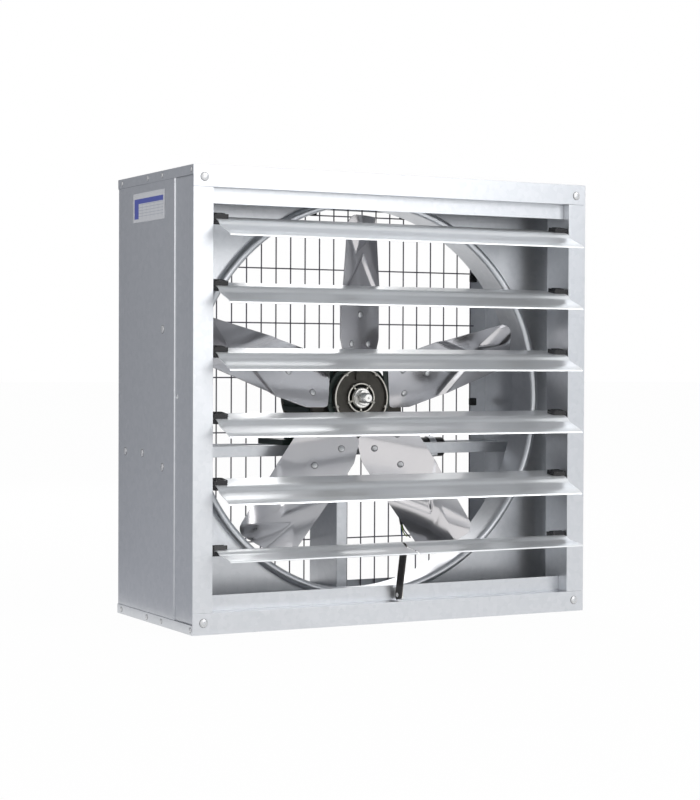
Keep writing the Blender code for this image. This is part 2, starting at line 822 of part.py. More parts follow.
def blade(number):
    """A sheet that lies flat on its arm, with three rivets, then bows forward and twists steeper."""
    bm = bmesh.new()
    frame = blade_frame(number)
    sides = []
    for lift in (blade_lift, blade_lift + blade_sheet):
        rows = []
        for along, half in blade_stations():
            share = max(along - arm_end, 0) / (blade_tip - arm_end)
            twist = blade_twist * share
            row = []
            for k in range(blade_columns + 1):
                across = half * (2 * k / blade_columns - 1)
                rise = lift - blade_lift + blade_camber * share * (1 - (across / blade_half) ** 2)
                turned_across = across * math.cos(twist) + rise * math.sin(twist)
                turned_rise = rise * math.cos(twist) - across * math.sin(twist)
                row.append(bm.verts.new(frame @ Vector((along, turned_across, blade_lift + turned_rise))))
            rows.append(row)
        sides.append(rows)
    for rows in sides:
        for first, second in zip(rows, rows[1:]):
            for k in range(blade_columns):
                bm.faces.new((first[k], first[k + 1], second[k + 1], second[k]))
    low, high = sides
    edges = [(low[0], high[0]), (low[-1], high[-1])]
    for k in (0, blade_columns):
        edges.append(([row[k] for row in low], [row[k] for row in high]))
    for low_edge, high_edge in edges:
        for first, second in zip(zip(low_edge, high_edge), zip(low_edge[1:], high_edge[1:])):
            bm.faces.new((first[0], second[0], second[1], first[1]))
    sheet_blade = finish(f"blade_{number + 1}", bm, blade_metal, True)
    rivets = bmesh.new()
    seat = blade_lift + blade_sheet
    outward = frame.to_3x3() @ Vector((0, 0, 1))
    for along, across in ((rivet_inner, -rivet_spread), (rivet_inner, rivet_spread), (rivet_outer, 0)):
        add_head(rivets, frame @ Vector((along, across, seat)), outward, rivet_radius, rivet_head)
    boolean(sheet_blade, finish(f"blade_rivets_{number + 1}", rivets, zinc, True), "UNION")
    set_origin(sheet_blade, (0, wheel_y, axis_z))


def hub_spider():
    """A round plate with one slanted arm for each blade, welded to one piece."""
    half = hub_disc_thickness / 2
    centre = (0, wheel_y, axis_z)
    disc = rod(hub_disc_radius, -half, half)
    spider = turned("hub_spider", disc, centre, (0, 1, 0), disc_steps, motor_paint)
    outline = [
        (arm_root, -arm_half_root), (arm_shoulder, -arm_half_root), (arm_end, -arm_half_end),
        (arm_end, arm_half_end), (arm_shoulder, arm_half_root), (arm_root, arm_half_root),
    ]
    for number in range(blade_count):
        arm = bmesh.new()
        add_prism(arm, outline, -arm_sheet / 2, arm_sheet / 2, "Z")
        bmesh.ops.transform(arm, matrix=blade_frame(number), verts=arm.verts)
        boolean(spider, finish(f"arm_shape_{number + 1}", arm, motor_paint), "UNION")
    bore = rod(fit_bore, -hub_disc_radius, hub_disc_radius)
    boolean(spider, turned("spider_bore", bore, centre, (0, 1, 0), shaft_steps, zinc), "DIFFERENCE")
    set_origin(spider, centre)


hub_spider()
for blade_number in range(blade_count):
    blade(blade_number)


# Hub casting, shaft and flanged nut


def hub_casting(base_y):
    """A cast dish with a raised rim, a collar on spokes, a block above it and a central boss."""
    profile = [
        (fit_bore, 0), (casting_radius, 0), (casting_radius, casting_height),
        (casting_radius - casting_rim, casting_height), (casting_radius - 2 * casting_rim, casting_floor),
        (collar_radius, casting_floor), (collar_radius, collar_height),
        (collar_radius - collar_wall, collar_height), (collar_radius - collar_wall, casting_floor),
        (boss_radius, casting_floor), (boss_radius, boss_height), (fit_bore, boss_height),
    ]
    centre = (0, base_y, axis_z)
    casting = turned("hub_casting", profile, centre, (0, -1, 0), disc_steps, cast_metal)
    additions = bmesh.new()
    floor_y = base_y - casting_floor / 2
    inner = boss_radius - collar_wall
    outer = collar_radius - collar_wall / 2
    half = spoke_width / 2
    for number in range(collar_spokes):
        turn = 2 * math.pi * number / collar_spokes - math.pi / 2
        section = []
        for x, z in ((inner, -half), (outer, -half), (outer, half), (inner, half)):
            world_x = x * math.cos(turn) - z * math.sin(turn)
            section.append((world_x, axis_z + x * math.sin(turn) + z * math.cos(turn)))
        add_prism(additions, section, base_y - collar_height + casting_rim, floor_y, "Y")
    block_start = (-block_width / 2, base_y - block_height, axis_z + block_low)
    add_box(additions, block_start, (block_width / 2, floor_y, axis_z + block_high))
    boolean(casting, finish("casting_additions", additions, cast_metal), "UNION")


casting_y = wheel_y - hub_disc_thickness / 2 - touch_gap
hub_casting(casting_y)
nut_y = casting_y - boss_height - touch_gap
shaft_front_y = nut_y - nut_height - shaft_nose
shaft_rear_y = body_rear_y + rear_bell_length
nut = turned("shaft_nut", rod(nut_radius, 0, nut_height), (0, nut_y, axis_z), (0, -1, 0), hexagon, zinc)
flange_shape = rod(nut_flange_radius, 0, nut_flange_height)
nut_flange = turned("nut_flange", flange_shape, (0, nut_y, axis_z), (0, -1, 0), shaft_steps, zinc)
boolean(nut, nut_flange, "UNION")
nut_bore = rod(fit_bore, -cut_overrun, nut_height + cut_overrun)
boolean(nut, turned("nut_bore", nut_bore, (0, nut_y, axis_z), (0, -1, 0), shaft_steps, zinc), "DIFFERENCE")
shaft_length = shaft_rear_y - shaft_front_y
shaft_shape = [
    (0, 0), (shaft_radius, 0), (shaft_radius, shaft_length - shaft_chamfer),
    (shaft_radius - shaft_chamfer, shaft_length), (0, shaft_length),
]
turned("motor_shaft", shaft_shape, (0, shaft_rear_y, axis_z), (0, -1, 0), shaft_steps, zinc)


# Motor


def motor_housing():
    """A ribbed tube on two feet, with a pad for the terminal box on its right."""
    bm = bmesh.new()
    outline = []
    for number in range(motor_rib_count):
        for k, share in enumerate(rib_shares):
            turn = 2 * math.pi * (number + share) / motor_rib_count
            radius = motor_radius if k < 2 else motor_radius - motor_rib_height
            outline.append((radius * math.cos(turn), axis_z + radius * math.sin(turn)))
    add_prism(bm, outline, body_front_y, body_rear_y, "Y")
    housing = finish("motor_housing", bm, motor_paint)
    foot_front = feet_middle_y - foot_length / 2
    foot_rear = feet_middle_y + foot_length / 2
    web_rear = body_rear_y - foot_web
    web_top = axis_z - foot_web_drop
    for side, word in ((-1, "left"), (1, "right")):
        section = [
            (side * foot_inner, foot_low), (side * foot_outer, foot_low), (side * foot_outer, foot_top),
            (side * (foot_inner + foot_web), foot_top), (side * (foot_inner + foot_web), web_top),
            (side * foot_inner, web_top),
        ]
        foot = bmesh.new()
        add_prism(foot, section, foot_front, web_rear, "Y")
        boolean(housing, finish(f"motor_foot_{word}", foot, motor_paint), "UNION")
        toe = bmesh.new()
        add_prism(toe, section[:3] + [(side * foot_inner, foot_top)], web_rear - foot_web, foot_rear, "Y")
        boolean(housing, finish(f"motor_foot_end_{word}", toe, motor_paint), "UNION")
    pad_low = (motor_radius - 2 * motor_rib_height, body_middle_y - terminal_pad, axis_z - terminal_pad)
    pad_high = (motor_radius + terminal_pad_reach, body_middle_y + terminal_pad, axis_z + terminal_pad)
    boolean(housing, box("motor_terminal_pad", pad_low, pad_high, motor_paint), "UNION")
    bore = rod(housing_bore, -cut_overrun, motor_body_length + cut_overrun)
    bore_start = (0, body_front_y, axis_z)
    boolean(housing, turned("motor_bore", bore, bore_start, (0, 1, 0), disc_steps, zinc), "DIFFERENCE")
    return housing


def end_cover(word, face_y, direction, bell_length, hub_length):
    """An end cover, which is a dished bell, and the bearing in the pocket of its hub."""
    centre = (0, face_y + direction * touch_gap, axis_z)
    end = bell_length + hub_length - touch_gap
    pocket = end - bearing_lip
    profile = [
        (bearing_radius + touch_gap, 0), (bell_radius, 0), (bell_radius, bell_length / 2),
        (bell_face_radius, bell_length - touch_gap), (bearing_hub_radius, bell_length - touch_gap),
        (bearing_hub_radius, end), (running_bore, end),
        (running_bore, pocket), (bearing_radius + touch_gap, pocket),
    ]
    turned(f"motor_{word}_cover", profile, centre, (0, direction, 0), disc_steps, cast_metal)
    bearing_shape = tube(bearing_radius, running_bore, 0, bearing_width)
    bearing_start = (0, face_y + direction * (pocket - bearing_width), axis_z)
    turned(f"motor_{word}_bearing", bearing_shape, bearing_start, (0, direction, 0), shaft_steps, zinc)


motor_body = motor_housing()
end_cover("front", body_front_y, -1, front_bell_length, front_hub_length)
end_cover("rear", body_rear_y, 1, rear_bell_length, rear_hub_length)

core_start = (0, body_middle_y - core_length / 2, axis_z)
stator_shape = tube(housing_bore - touch_gap, rotor_core_radius + air_gap, 0, core_length)
turned("stator_core", stator_shape, core_start, (0, 1, 0), disc_steps, dark_steel)
rotor_shape = tube(rotor_core_radius, fit_bore, 0, core_length)
turned("rotor_core", rotor_shape, core_start, (0, 1, 0), disc_steps, dark_steel)


# Terminal box, gland and lead


def terminal_box():
    """An open box against the motor's pad, its lid with four screws, and the lead's gland."""
    half = terminal_size / 2
    low_y = body_middle_y - half
    high_y = body_middle_y + half
    outer_x = terminal_x + terminal_depth
    low = (terminal_x, low_y, axis_z - half)
    shell = box("terminal_box", low, (outer_x, high_y, axis_z + half), cast_metal)
    inner_low = (terminal_x + terminal_wall, low_y + terminal_wall, axis_z - half + terminal_wall)
    inner_high = (outer_x + cut_overrun, high_y - terminal_wall, axis_z + half - terminal_wall)
    boolean(shell, box("terminal_hollow", inner_low, inner_high, cast_metal), "DIFFERENCE")
    lid_x = outer_x + touch_gap
    seat_x = lid_x + terminal_lid
    lid = box("terminal_lid", (lid_x, low_y, axis_z - half), (seat_x, high_y, axis_z + half), cast_metal)
    screws = bmesh.new()
    reach = half - terminal_screw_inset
    for y_sign in (-1, 1):
        for z_sign in (-1, 1):
            seat = (seat_x, body_middle_y + y_sign * reach, axis_z + z_sign * reach)
            add_head(screws, seat, (1, 0, 0), terminal_screw_radius, rivet_head)
    boolean(lid, finish("terminal_screws", screws, zinc, True), "UNION")
    gland_shape = tube(gland_radius, lead_radius + touch_gap, 0, gland_length)
    gland_start = (gland_x, body_middle_y, axis_z - half - touch_gap)
    turned("cable_gland", gland_shape, gland_start, (0, 0, -1), shaft_steps, black_plastic)


def curve_point(points, share):
    """A point of the smooth curve between the second and third of four points."""
    before, start, end, after = points
    linear = (end - before) * share
    bend = (2 * before - 5 * start + 4 * end - after) * share ** 2
    twist = (3 * start - 3 * end + after - before) * share ** 3
    return (2 * start + linear + bend + twist) / 2


def smooth_route(route, spacing):
    """Points at about one spacing along a smooth curve through the route."""
    points = [Vector(p) for p in route]
    points = [2 * points[0] - points[1]] + points + [2 * points[-1] - points[-2]]
    found = []
    for i in range(1, len(points) - 2):
        count = max(1, round((points[i + 1] - points[i]).length / spacing))
        found += [curve_point(points[i - 1:i + 3], k / count) for k in range(count)]
    return found + [points[-2]]


def wire_object(name, route, radius, spacing, material):
    curve = bpy.data.curves.new(name, "CURVE")
    curve.dimensions = "3D"
    curve.bevel_depth = radius
    curve.bevel_resolution = 2
    curve.use_fill_caps = True
    points = smooth_route(route, spacing)
    spline = curve.splines.new("POLY")
    spline.points.add(len(points[1:]))
    for spline_point, point in zip(spline.points, points):
        spline_point.co = (*point, 1.0)
    curve.materials.append(material)
    bpy.context.scene.collection.objects.link(bpy.data.objects.new(name, curve))


terminal_box()
wire_object("motor_lead", lead_route, lead_radius, lead_spacing, lead_rubber)
wire_object("lead_core_black", black_core_route, core_radius, core_spacing, lead_rubber)
wire_object("lead_core_blue", blue_core_route, core_radius, core_spacing, blue_core)
wire_object("lead_core_green", green_core_route, core_radius, core_spacing, green_core)


# Motor rails, post and bolts


def motor_rail(name, middle_y):
    """A channel across the box, open below."""
    path = [
        (middle_y - rail_width / 2, rail_top - rail_height),
        (middle_y - rail_width / 2, rail_top),
        (middle_y + rail_width / 2, rail_top),
        (middle_y + rail_width / 2, rail_top - rail_height),
    ]
    return bent_sheet(name, path, -rail_sheet, -inner_wall_x, inner_wall_x, "X")


rails = [motor_rail("motor_rail_front", front_rail_y), motor_rail("motor_rail_rear", rear_rail_y)]
post_front = feet_middle_y - post_web / 2
post_path = [
    (post_flange / 2, post_front),
    (-post_flange / 2, post_front),
    (-post_flange / 2, post_front + post_web),
    (post_flange / 2, post_front + post_web),
]
post_top = rail_top - rail_height - touch_gap
bent_sheet("motor_post", post_path, -rail_sheet, panel_low, post_top, "Z")

bolts = bmesh.new()
bolt_holes = bmesh.new()
nut_top = rail_top - rail_sheet - touch_gap
bolt_high = foot_top + motor_bolt_head_height
bolt_shape = [
    (0, nut_top - motor_bolt_head_height), (motor_bolt_head, nut_top - motor_bolt_head_height),
    (motor_bolt_head, nut_top), (motor_bolt_radius, nut_top),
    (motor_bolt_radius, foot_top - foot_thickness / 2), (motor_bolt_head, foot_top - foot_thickness / 2),
    (motor_bolt_head, bolt_high), (0, bolt_high),
]
bolt_hole = rod(motor_bolt_radius + touch_gap, nut_top - cut_overrun, rail_top + cut_overrun)
for x_sign in (-1, 1):
    for bolt_y in (front_rail_y, rear_rail_y):
        add_turned(bolts, bolt_shape, (x_sign * motor_bolt_x, bolt_y, 0), (0, 0, 1), hexagon)
        add_turned(bolt_holes, bolt_hole, (x_sign * motor_bolt_x, bolt_y, 0), (0, 0, 1), small_steps)
boolean(motor_body, finish("motor_bolts", bolts, zinc), "UNION")
bolt_cutter = finish("bolt_holes", bolt_holes, zinc)
for rail in rails:
    boolean(rail, bolt_cutter, "DIFFERENCE")


# Run capacitor


def run_capacitor():
    """A short can behind the front rail, and a strap round it whose ear is fixed to the rail."""
    rail_face = front_rail_y + rail_width / 2 + touch_gap
    inner = (capacitor_radius + touch_gap) / math.cos(math.pi / clamp_steps)
    middle_y = rail_face + clamp_sheet + inner
    middle_z = rail_top + capacitor_rise - capacitor_radius
    can = [
        (0, 0), (capacitor_radius - capacitor_rim, 0), (capacitor_radius, capacitor_rim),
        (capacitor_radius, capacitor_length - capacitor_rim),
        (capacitor_radius - capacitor_rim, capacitor_length), (0, capacitor_length),
    ]
    start = (capacitor_x - capacitor_length / 2, middle_y, middle_z)
    turned("run_capacitor", can, start, (1, 0, 0), disc_steps, black_plastic)
    path = [(rail_face + clamp_sheet, middle_z - clamp_ear)]
    for k in range(clamp_steps):
        turn = math.pi - 2 * math.pi * k / clamp_steps
        path.append((middle_y + inner * math.cos(turn), middle_z + inner * math.sin(turn)))
    half = clamp_width / 2
    bent_sheet("capacitor_clamp", path, clamp_sheet, capacitor_x - half, capacitor_x + half, "X")


run_capacitor()


# Wire guard


def wire_guard():
    """A flat welded net: every cell of the lattice that holds wire is filled. Blocks clip its edge."""
    bm = bmesh.new()
    half = wire_size / 2
    span_x = box_width - 2 * guard_side
    span_z = box_height - guard_top - guard_bottom
    wire_pitch_x = span_x / (guard_columns - 1)
    wire_pitch_z = span_z / (guard_rows - 1)
    low_x = -span_x / 2
    low_z = guard_bottom
    xs = [low_x - guard_stub]
    for k in range(guard_columns):
        xs += [low_x + k * wire_pitch_x - half, low_x + k * wire_pitch_x + half]
    xs.append(low_x + span_x + guard_stub)
    zs = [low_z - guard_stub]
    for k in range(guard_rows):
        zs += [low_z + k * wire_pitch_z - half, low_z + k * wire_pitch_z + half]
    zs.append(box_height - rear_flange + guard_stub)
    corners = {}

    def corner(i, j, y):
        if (i, j, y) not in corners:
            corners[i, j, y] = bm.verts.new((xs[i], y, zs[j]))
        return corners[i, j, y]

    def filled(i, j):
        inside = 0 <= i < len(xs) - 1 and 0 <= j < len(zs) - 1
        return inside and (i % 2 == 1 or j % 2 == 1)

    for i in range(len(xs) - 1):
        for j in range(len(zs) - 1):
            if not filled(i, j):
                continue
            loop = [(i, j), (i + 1, j), (i + 1, j + 1), (i, j + 1)]
            for y in (guard_front, guard_back):
                bm.faces.new([corner(a, b, y) for a, b in loop])
            beside = ((i, j - 1), (i + 1, j), (i, j + 1), (i - 1, j))
            for side, neighbour in enumerate(beside):
                if filled(*neighbour):
                    continue
                start = loop[side]
                end = loop[(side + 1) % 4]
                edge = [corner(*start, guard_front), corner(*end, guard_front)]
                edge += [corner(*end, guard_back), corner(*start, guard_back)]
                bm.faces.new(edge)
    guard = finish("wire_guard", bm, guard_wire)
    clips = bmesh.new()
    block = guard_clip_size / 2
    reach = block - half
    places = []
    for share in guard_clip_height_shares:
        places += [(side * (span_x / 2 + reach), low_z + span_z * share) for side in (-1, 1)]
    for share in guard_clip_offset_shares:
        places += [(span_x * share, z) for z in (low_z - reach, low_z + span_z + reach)]
    for x, z in places:
        clip_start = (x - block, guard_front - guard_clip_thickness, z - block)
        add_box(clips, clip_start, (x + block, guard_front + half, z + block))
    boolean(guard, finish("guard_clips", clips, black_plastic), "UNION")


wire_guard()


# Data plate

plate_x = -panel_x - touch_gap
plate_front = front_y + plate_from_front
plate_top = box_height - plate_drop
plate_start = (plate_x - plate_thickness, plate_front, plate_top - plate_height)
box("data_plate", plate_start, (plate_x, plate_front + plate_width, plate_top), plate_film)
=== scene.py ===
# Looks for a square galvanised exhaust fan. Metres, +Z up, the air leaves along -Y.
import json
import math

import bmesh
import bpy
import numpy as np
from mathutils import Matrix, Vector


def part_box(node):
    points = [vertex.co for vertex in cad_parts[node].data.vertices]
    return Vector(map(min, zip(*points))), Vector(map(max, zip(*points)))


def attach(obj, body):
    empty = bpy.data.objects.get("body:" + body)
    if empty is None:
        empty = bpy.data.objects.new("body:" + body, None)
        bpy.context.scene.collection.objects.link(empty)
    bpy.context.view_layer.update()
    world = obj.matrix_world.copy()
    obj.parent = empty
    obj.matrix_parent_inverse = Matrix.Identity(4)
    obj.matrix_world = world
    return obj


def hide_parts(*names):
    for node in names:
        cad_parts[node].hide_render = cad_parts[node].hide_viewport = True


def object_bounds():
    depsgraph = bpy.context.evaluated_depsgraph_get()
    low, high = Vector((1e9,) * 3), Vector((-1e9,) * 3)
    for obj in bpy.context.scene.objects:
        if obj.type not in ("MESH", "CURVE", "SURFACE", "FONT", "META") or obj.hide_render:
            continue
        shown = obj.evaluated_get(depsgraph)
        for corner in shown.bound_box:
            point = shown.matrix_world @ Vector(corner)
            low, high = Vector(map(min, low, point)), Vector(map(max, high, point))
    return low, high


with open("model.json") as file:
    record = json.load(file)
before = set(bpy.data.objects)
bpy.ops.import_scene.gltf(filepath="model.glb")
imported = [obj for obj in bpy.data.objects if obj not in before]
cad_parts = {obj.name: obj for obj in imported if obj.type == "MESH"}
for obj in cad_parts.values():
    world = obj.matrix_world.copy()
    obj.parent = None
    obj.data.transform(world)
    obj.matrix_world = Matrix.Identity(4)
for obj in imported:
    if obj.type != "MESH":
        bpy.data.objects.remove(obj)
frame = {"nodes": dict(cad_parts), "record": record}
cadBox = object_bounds()
nodes = frame["nodes"]
slotOf = {part["node"]: part["material_slot"] for part in frame["record"]["subparts"]}
print("frame loaded with", len(nodes), "pieces")

# Camera at the photograph's place. Its angles and focal length in picture points come from the box's corners
cameraLook = {
    "place": (-1.723, -3.238, 0.464), "yawDeg": 27.93, "pitchDeg": -1.07, "rollDeg": 0.25,
    "focalPoints": 1965.0, "longSidePoints": 800.0, "sensorMm": 36.0,
}


def newObject(name, data):
    obj = bpy.data.objects.new(name, data)
    bpy.context.scene.collection.objects.link(obj)
    return obj


def pick(look, names):
    # the look's values of these names, in their order
    return [look[name] for name in names.split()]


def addCamera(look):
    # it looks along (sin yaw cos pitch, cos yaw cos pitch, sin pitch) and is rolled about that line
    yaw, pitch, roll = (math.radians(angle) for angle in pick(look, "yawDeg pitchDeg rollDeg"))
    forward = Vector((math.sin(yaw) * math.cos(pitch), math.cos(yaw) * math.cos(pitch), math.sin(pitch)))
    level = Vector((math.cos(yaw), -math.sin(yaw), 0))
    right = level * math.cos(roll) + level.cross(forward) * math.sin(roll)
    turn = Matrix((right, right.cross(forward), -forward)).transposed().to_4x4()
    data = bpy.data.cameras.new("camera")
    data.sensor_width = look["sensorMm"]
    data.lens = look["focalPoints"] * look["sensorMm"] / look["longSidePoints"]
    camera = newObject("camera", data)
    camera.matrix_world = Matrix.Translation(look["place"]) @ turn
    bpy.context.scene.camera = camera


addCamera(cameraLook)
bpy.context.scene.view_settings.view_transform = "Standard"
print("camera placed")


# Materials


def linear(hexValue):
    # sRGB to linear light: c / 12.92 near black, else (c + 0.055) / 1.055 to the power 2.4
    srgb = np.array([int(hexValue[i:i + 2], 16) for i in (1, 3, 5)]) / 255
    value = np.where(srgb <= 0.04045, srgb / 12.92, ((srgb + 0.055) / 1.055) ** 2.4)
    return (*value.tolist(), 1.0)


def addNode(tree, kind, settings=None, inputs=None):
    node = tree.nodes.new(kind)
    for key, value in (settings or {}).items():
        setattr(node, key, value)
    for key, value in (inputs or {}).items():
        if isinstance(value, bpy.types.NodeSocket):
            tree.links.new(value, node.inputs[key])
        else:
            node.inputs[key].default_value = value
    return node


def newMaterial(name):
    material = bpy.data.materials.new(name)
    material.use_nodes = True
    return material, material.node_tree


def perMetre(millimetres):
    # a pattern's scale is how many of its features fit in one metre
    return 1000 / millimetres


# What a finish has where its own look says nothing. The grain's noise seldom leaves grainSpan
finishBase = {"metallic": 0.0, "patchMm": 5, "grainMm": 0.5, "grainSpan": (0.3, 0.7), "grainDetail": 4.0,
              "drawn": (1, 1, 1), "bumpMm": 0.01, "waveDetail": 1.0}


def makeFinish(name, look):
    # broad patches mix two tones. Fine grain sets the gloss and the bump, over slow waves where there are any
    look = finishBase | look
    material, tree = newMaterial(name)
    shader = tree.nodes["Principled BSDF"]
    shader.inputs["Metallic"].default_value = look["metallic"]
    place = addNode(tree, "ShaderNodeTexCoord").outputs["Object"]
    drawn = addNode(tree, "ShaderNodeMapping", inputs={"Vector": place, "Scale": look["drawn"]})
    drawn = drawn.outputs["Vector"]
    if "cellMm" in look:
        cells = addNode(tree, "ShaderNodeTexVoronoi", inputs={
            "Vector": drawn, "Scale": perMetre(look["cellMm"])})
        patch = addNode(tree, "ShaderNodeRGBToBW", inputs={"Color": cells.outputs["Color"]}).outputs["Val"]
    else:
        patch = addNode(tree, "ShaderNodeTexNoise", inputs={
            "Vector": drawn, "Scale": perMetre(look["patchMm"])}).outputs["Fac"]
    grain = addNode(tree, "ShaderNodeTexNoise", inputs={
        "Vector": drawn, "Scale": perMetre(look["grainMm"]), "Detail": look["grainDetail"]}).outputs["Fac"]
    tone = addNode(tree, "ShaderNodeMix", {"data_type": "RGBA"}, {
        0: patch, 6: linear(look["dark"]), 7: linear(look["light"])})  # the colour mix has its ends at 6 and 7
    gloss = addNode(tree, "ShaderNodeMapRange", inputs={
        "Value": grain, "From Min": look["grainSpan"][0], "From Max": look["grainSpan"][1],
        "To Min": look["rough"][0], "To Max": look["rough"][1]})
    bumpInputs = {"Height": grain, "Distance": look["bumpMm"] / 1000}
    if "waveMm" in look:
        wave = addNode(tree, "ShaderNodeTexNoise", inputs={
            "Vector": place, "Scale": perMetre(look["waveMm"]), "Detail": look["waveDetail"]})
        bumpInputs["Normal"] = addNode(tree, "ShaderNodeBump", inputs={
            "Height": wave.outputs["Fac"], "Distance": look["waveHeightMm"] / 1000}).outputs["Normal"]
    bump = addNode(tree, "ShaderNodeBump", inputs=bumpInputs)
    tree.links.new(tone.outputs[2], shader.inputs["Base Color"])
    tree.links.new(gloss.outputs["Result"], shader.inputs["Roughness"])
    tree.links.new(bump.outputs["Normal"], shader.inputs["Normal"])
    return material


finishLooks = {
    # hot-dip zinc on rolled steel: a soft satin sheen with faint spangle and shallow waves from folding
    "galvanisedSheet": {"metallic": 0.8, "light": "#D4D6DA", "dark": "#CCCFD3", "cellMm": 9, "grainMm": 2.2,
                        "rough": (0.30, 0.35), "bumpMm": 0.0015, "waveMm": 160, "waveHeightMm": 0.2},
    # extruded aluminium, drawn along X: fine lines that stretch every highlight
    "extrudedAluminium": {"metallic": 0.65, "light": "#EAECEE", "dark": "#DEE1E4", "patchMm": 12,
                          "grainMm": 1.2, "drawn": (0.008, 1, 1), "rough": (0.28, 0.34), "bumpMm": 0.003},
    # bright-rolled stainless steel: almost a mirror, with slow waves left by the press
    "brightStainless": {"metallic": 0.95, "light": "#DDDBDC", "dark": "#D3D1D4", "patchMm": 60,
                        "grainMm": 2.5, "rough": (0.10, 0.15), "bumpMm": 0.002, "waveMm": 75, "waveHeightMm": 0.5},
    # bright zinc plate on the shaft and its nut
    "zincPlate": {"metallic": 1.0, "light": "#E2E1DE", "dark": "#CFCECC", "patchMm": 3,
                  "rough": (0.16, 0.28)},
    # duller zinc on the screws and rivets of the casing, and on the blades' rivets
    "screwZinc": {"metallic": 0.6, "light": "#D9DADB", "dark": "#C9CACC", "patchMm": 3,
                  "rough": (0.24, 0.34)},
    # the thin dark ring round a fixing: painted contact shade where the head meets the sheet
    "paintedRimShade": {"light": "#5A5A5D", "dark": "#434346", "patchMm": 3, "rough": (0.5, 0.65)},
    # sand-cast aluminium, dulled dark: gritty skin
    "darkCasting": {"metallic": 0.55, "light": "#5A5751", "dark": "#3E3C38", "patchMm": 14, "grainMm": 0.9,
                    "rough": (0.42, 0.62), "bumpMm": 0.12},
    # the same casting where a tool has faced it: bright turned metal
    "machinedEdge": {"metallic": 1.0, "light": "#C9C6BE", "dark": "#B0ADA6", "patchMm": 6, "grainMm": 0.4,
                     "rough": (0.22, 0.34)},
    # painted shade: a near-black colour on the floor of the deep cored slots, where hardly any light comes back
    "paintedSlotShade": {"light": "#12110F", "dark": "#0A0A09", "grainMm": 0.8, "rough": (0.7, 0.9), "bumpMm": 0.1},
    # dark green stove enamel on the motor: slight orange peel
    "motorEnamel": {"light": "#1F322D", "dark": "#16241F", "patchMm": 25, "grainMm": 1.8,
                    "rough": (0.32, 0.46), "bumpMm": 0.05},
    # moulded black nylon: even satin with a fine sparked texture
    "mouldedNylon": {"light": "#1E1E20", "dark": "#151517", "patchMm": 8, "grainMm": 0.6,
                     "rough": (0.38, 0.52), "bumpMm": 0.03},
    # glossier black nylon of the louvre clips, polished where the tool was
    "polishedNylon": {"light": "#242427", "dark": "#1A1A1D", "patchMm": 8, "grainMm": 0.6,
                      "rough": (0.16, 0.26)},
    # blackened spring steel: brown-black, with rubbed places
    "blackenedSteel": {"metallic": 0.8, "light": "#4C4A49", "dark": "#2E2D2D", "patchMm": 9, "grainMm": 1.0,
                       "rough": (0.34, 0.55), "bumpMm": 0.03},
    # laminated core steel with varnish, inside the motor
    "varnishedCore": {"metallic": 0.6, "light": "#4A4038", "dark": "#332C27", "patchMm": 6, "grainMm": 0.8,
                      "drawn": (1, 6, 1), "rough": (0.4, 0.6), "bumpMm": 0.05},
    # dull zinc wire with a grey bloom
    "dullWire": {"metallic": 0.75, "light": "#7A7781", "dark": "#65626C", "patchMm": 15, "grainMm": 1.2,
                 "rough": (0.36, 0.5), "bumpMm": 0.02},
    # PVC: the lead's soft satin sheath, and the glossier skins of its three cores
    "leadSheath": {"light": "#262627", "dark": "#1B1B1C", "patchMm": 12, "grainMm": 0.7,
                   "rough": (0.42, 0.55), "bumpMm": 0.02},
    "blackCore": {"light": "#1C1C1E", "dark": "#141416", "rough": (0.3, 0.4)},
    "blueCore": {"light": "#2E5AA8", "dark": "#244B92", "rough": (0.3, 0.4)},
    "greenCore": {"light": "#9AB53A", "dark": "#86A22E", "rough": (0.3, 0.4)},
}
finishes = {name: makeFinish(name, look) for name, look in finishLooks.items()}

# The blank plate: satin film with a blue head row, a blue first column and ruled lines, and no words
plateLook = {
    "frontY": -0.046, "topZ": 0.768, "width": 0.147, "height": 0.052, "border": 0.006, "topBorder": 0.010,
    "headHeight": 0.009, "columnWidth": 0.020, "rowPitch": 0.0052, "columnPitch": 0.0185, "lineWidth": 0.0007,
    "film": "#C9CBD0", "band": "#4A56A8", "line": "#9AA0AE", "rough": 0.35,
}


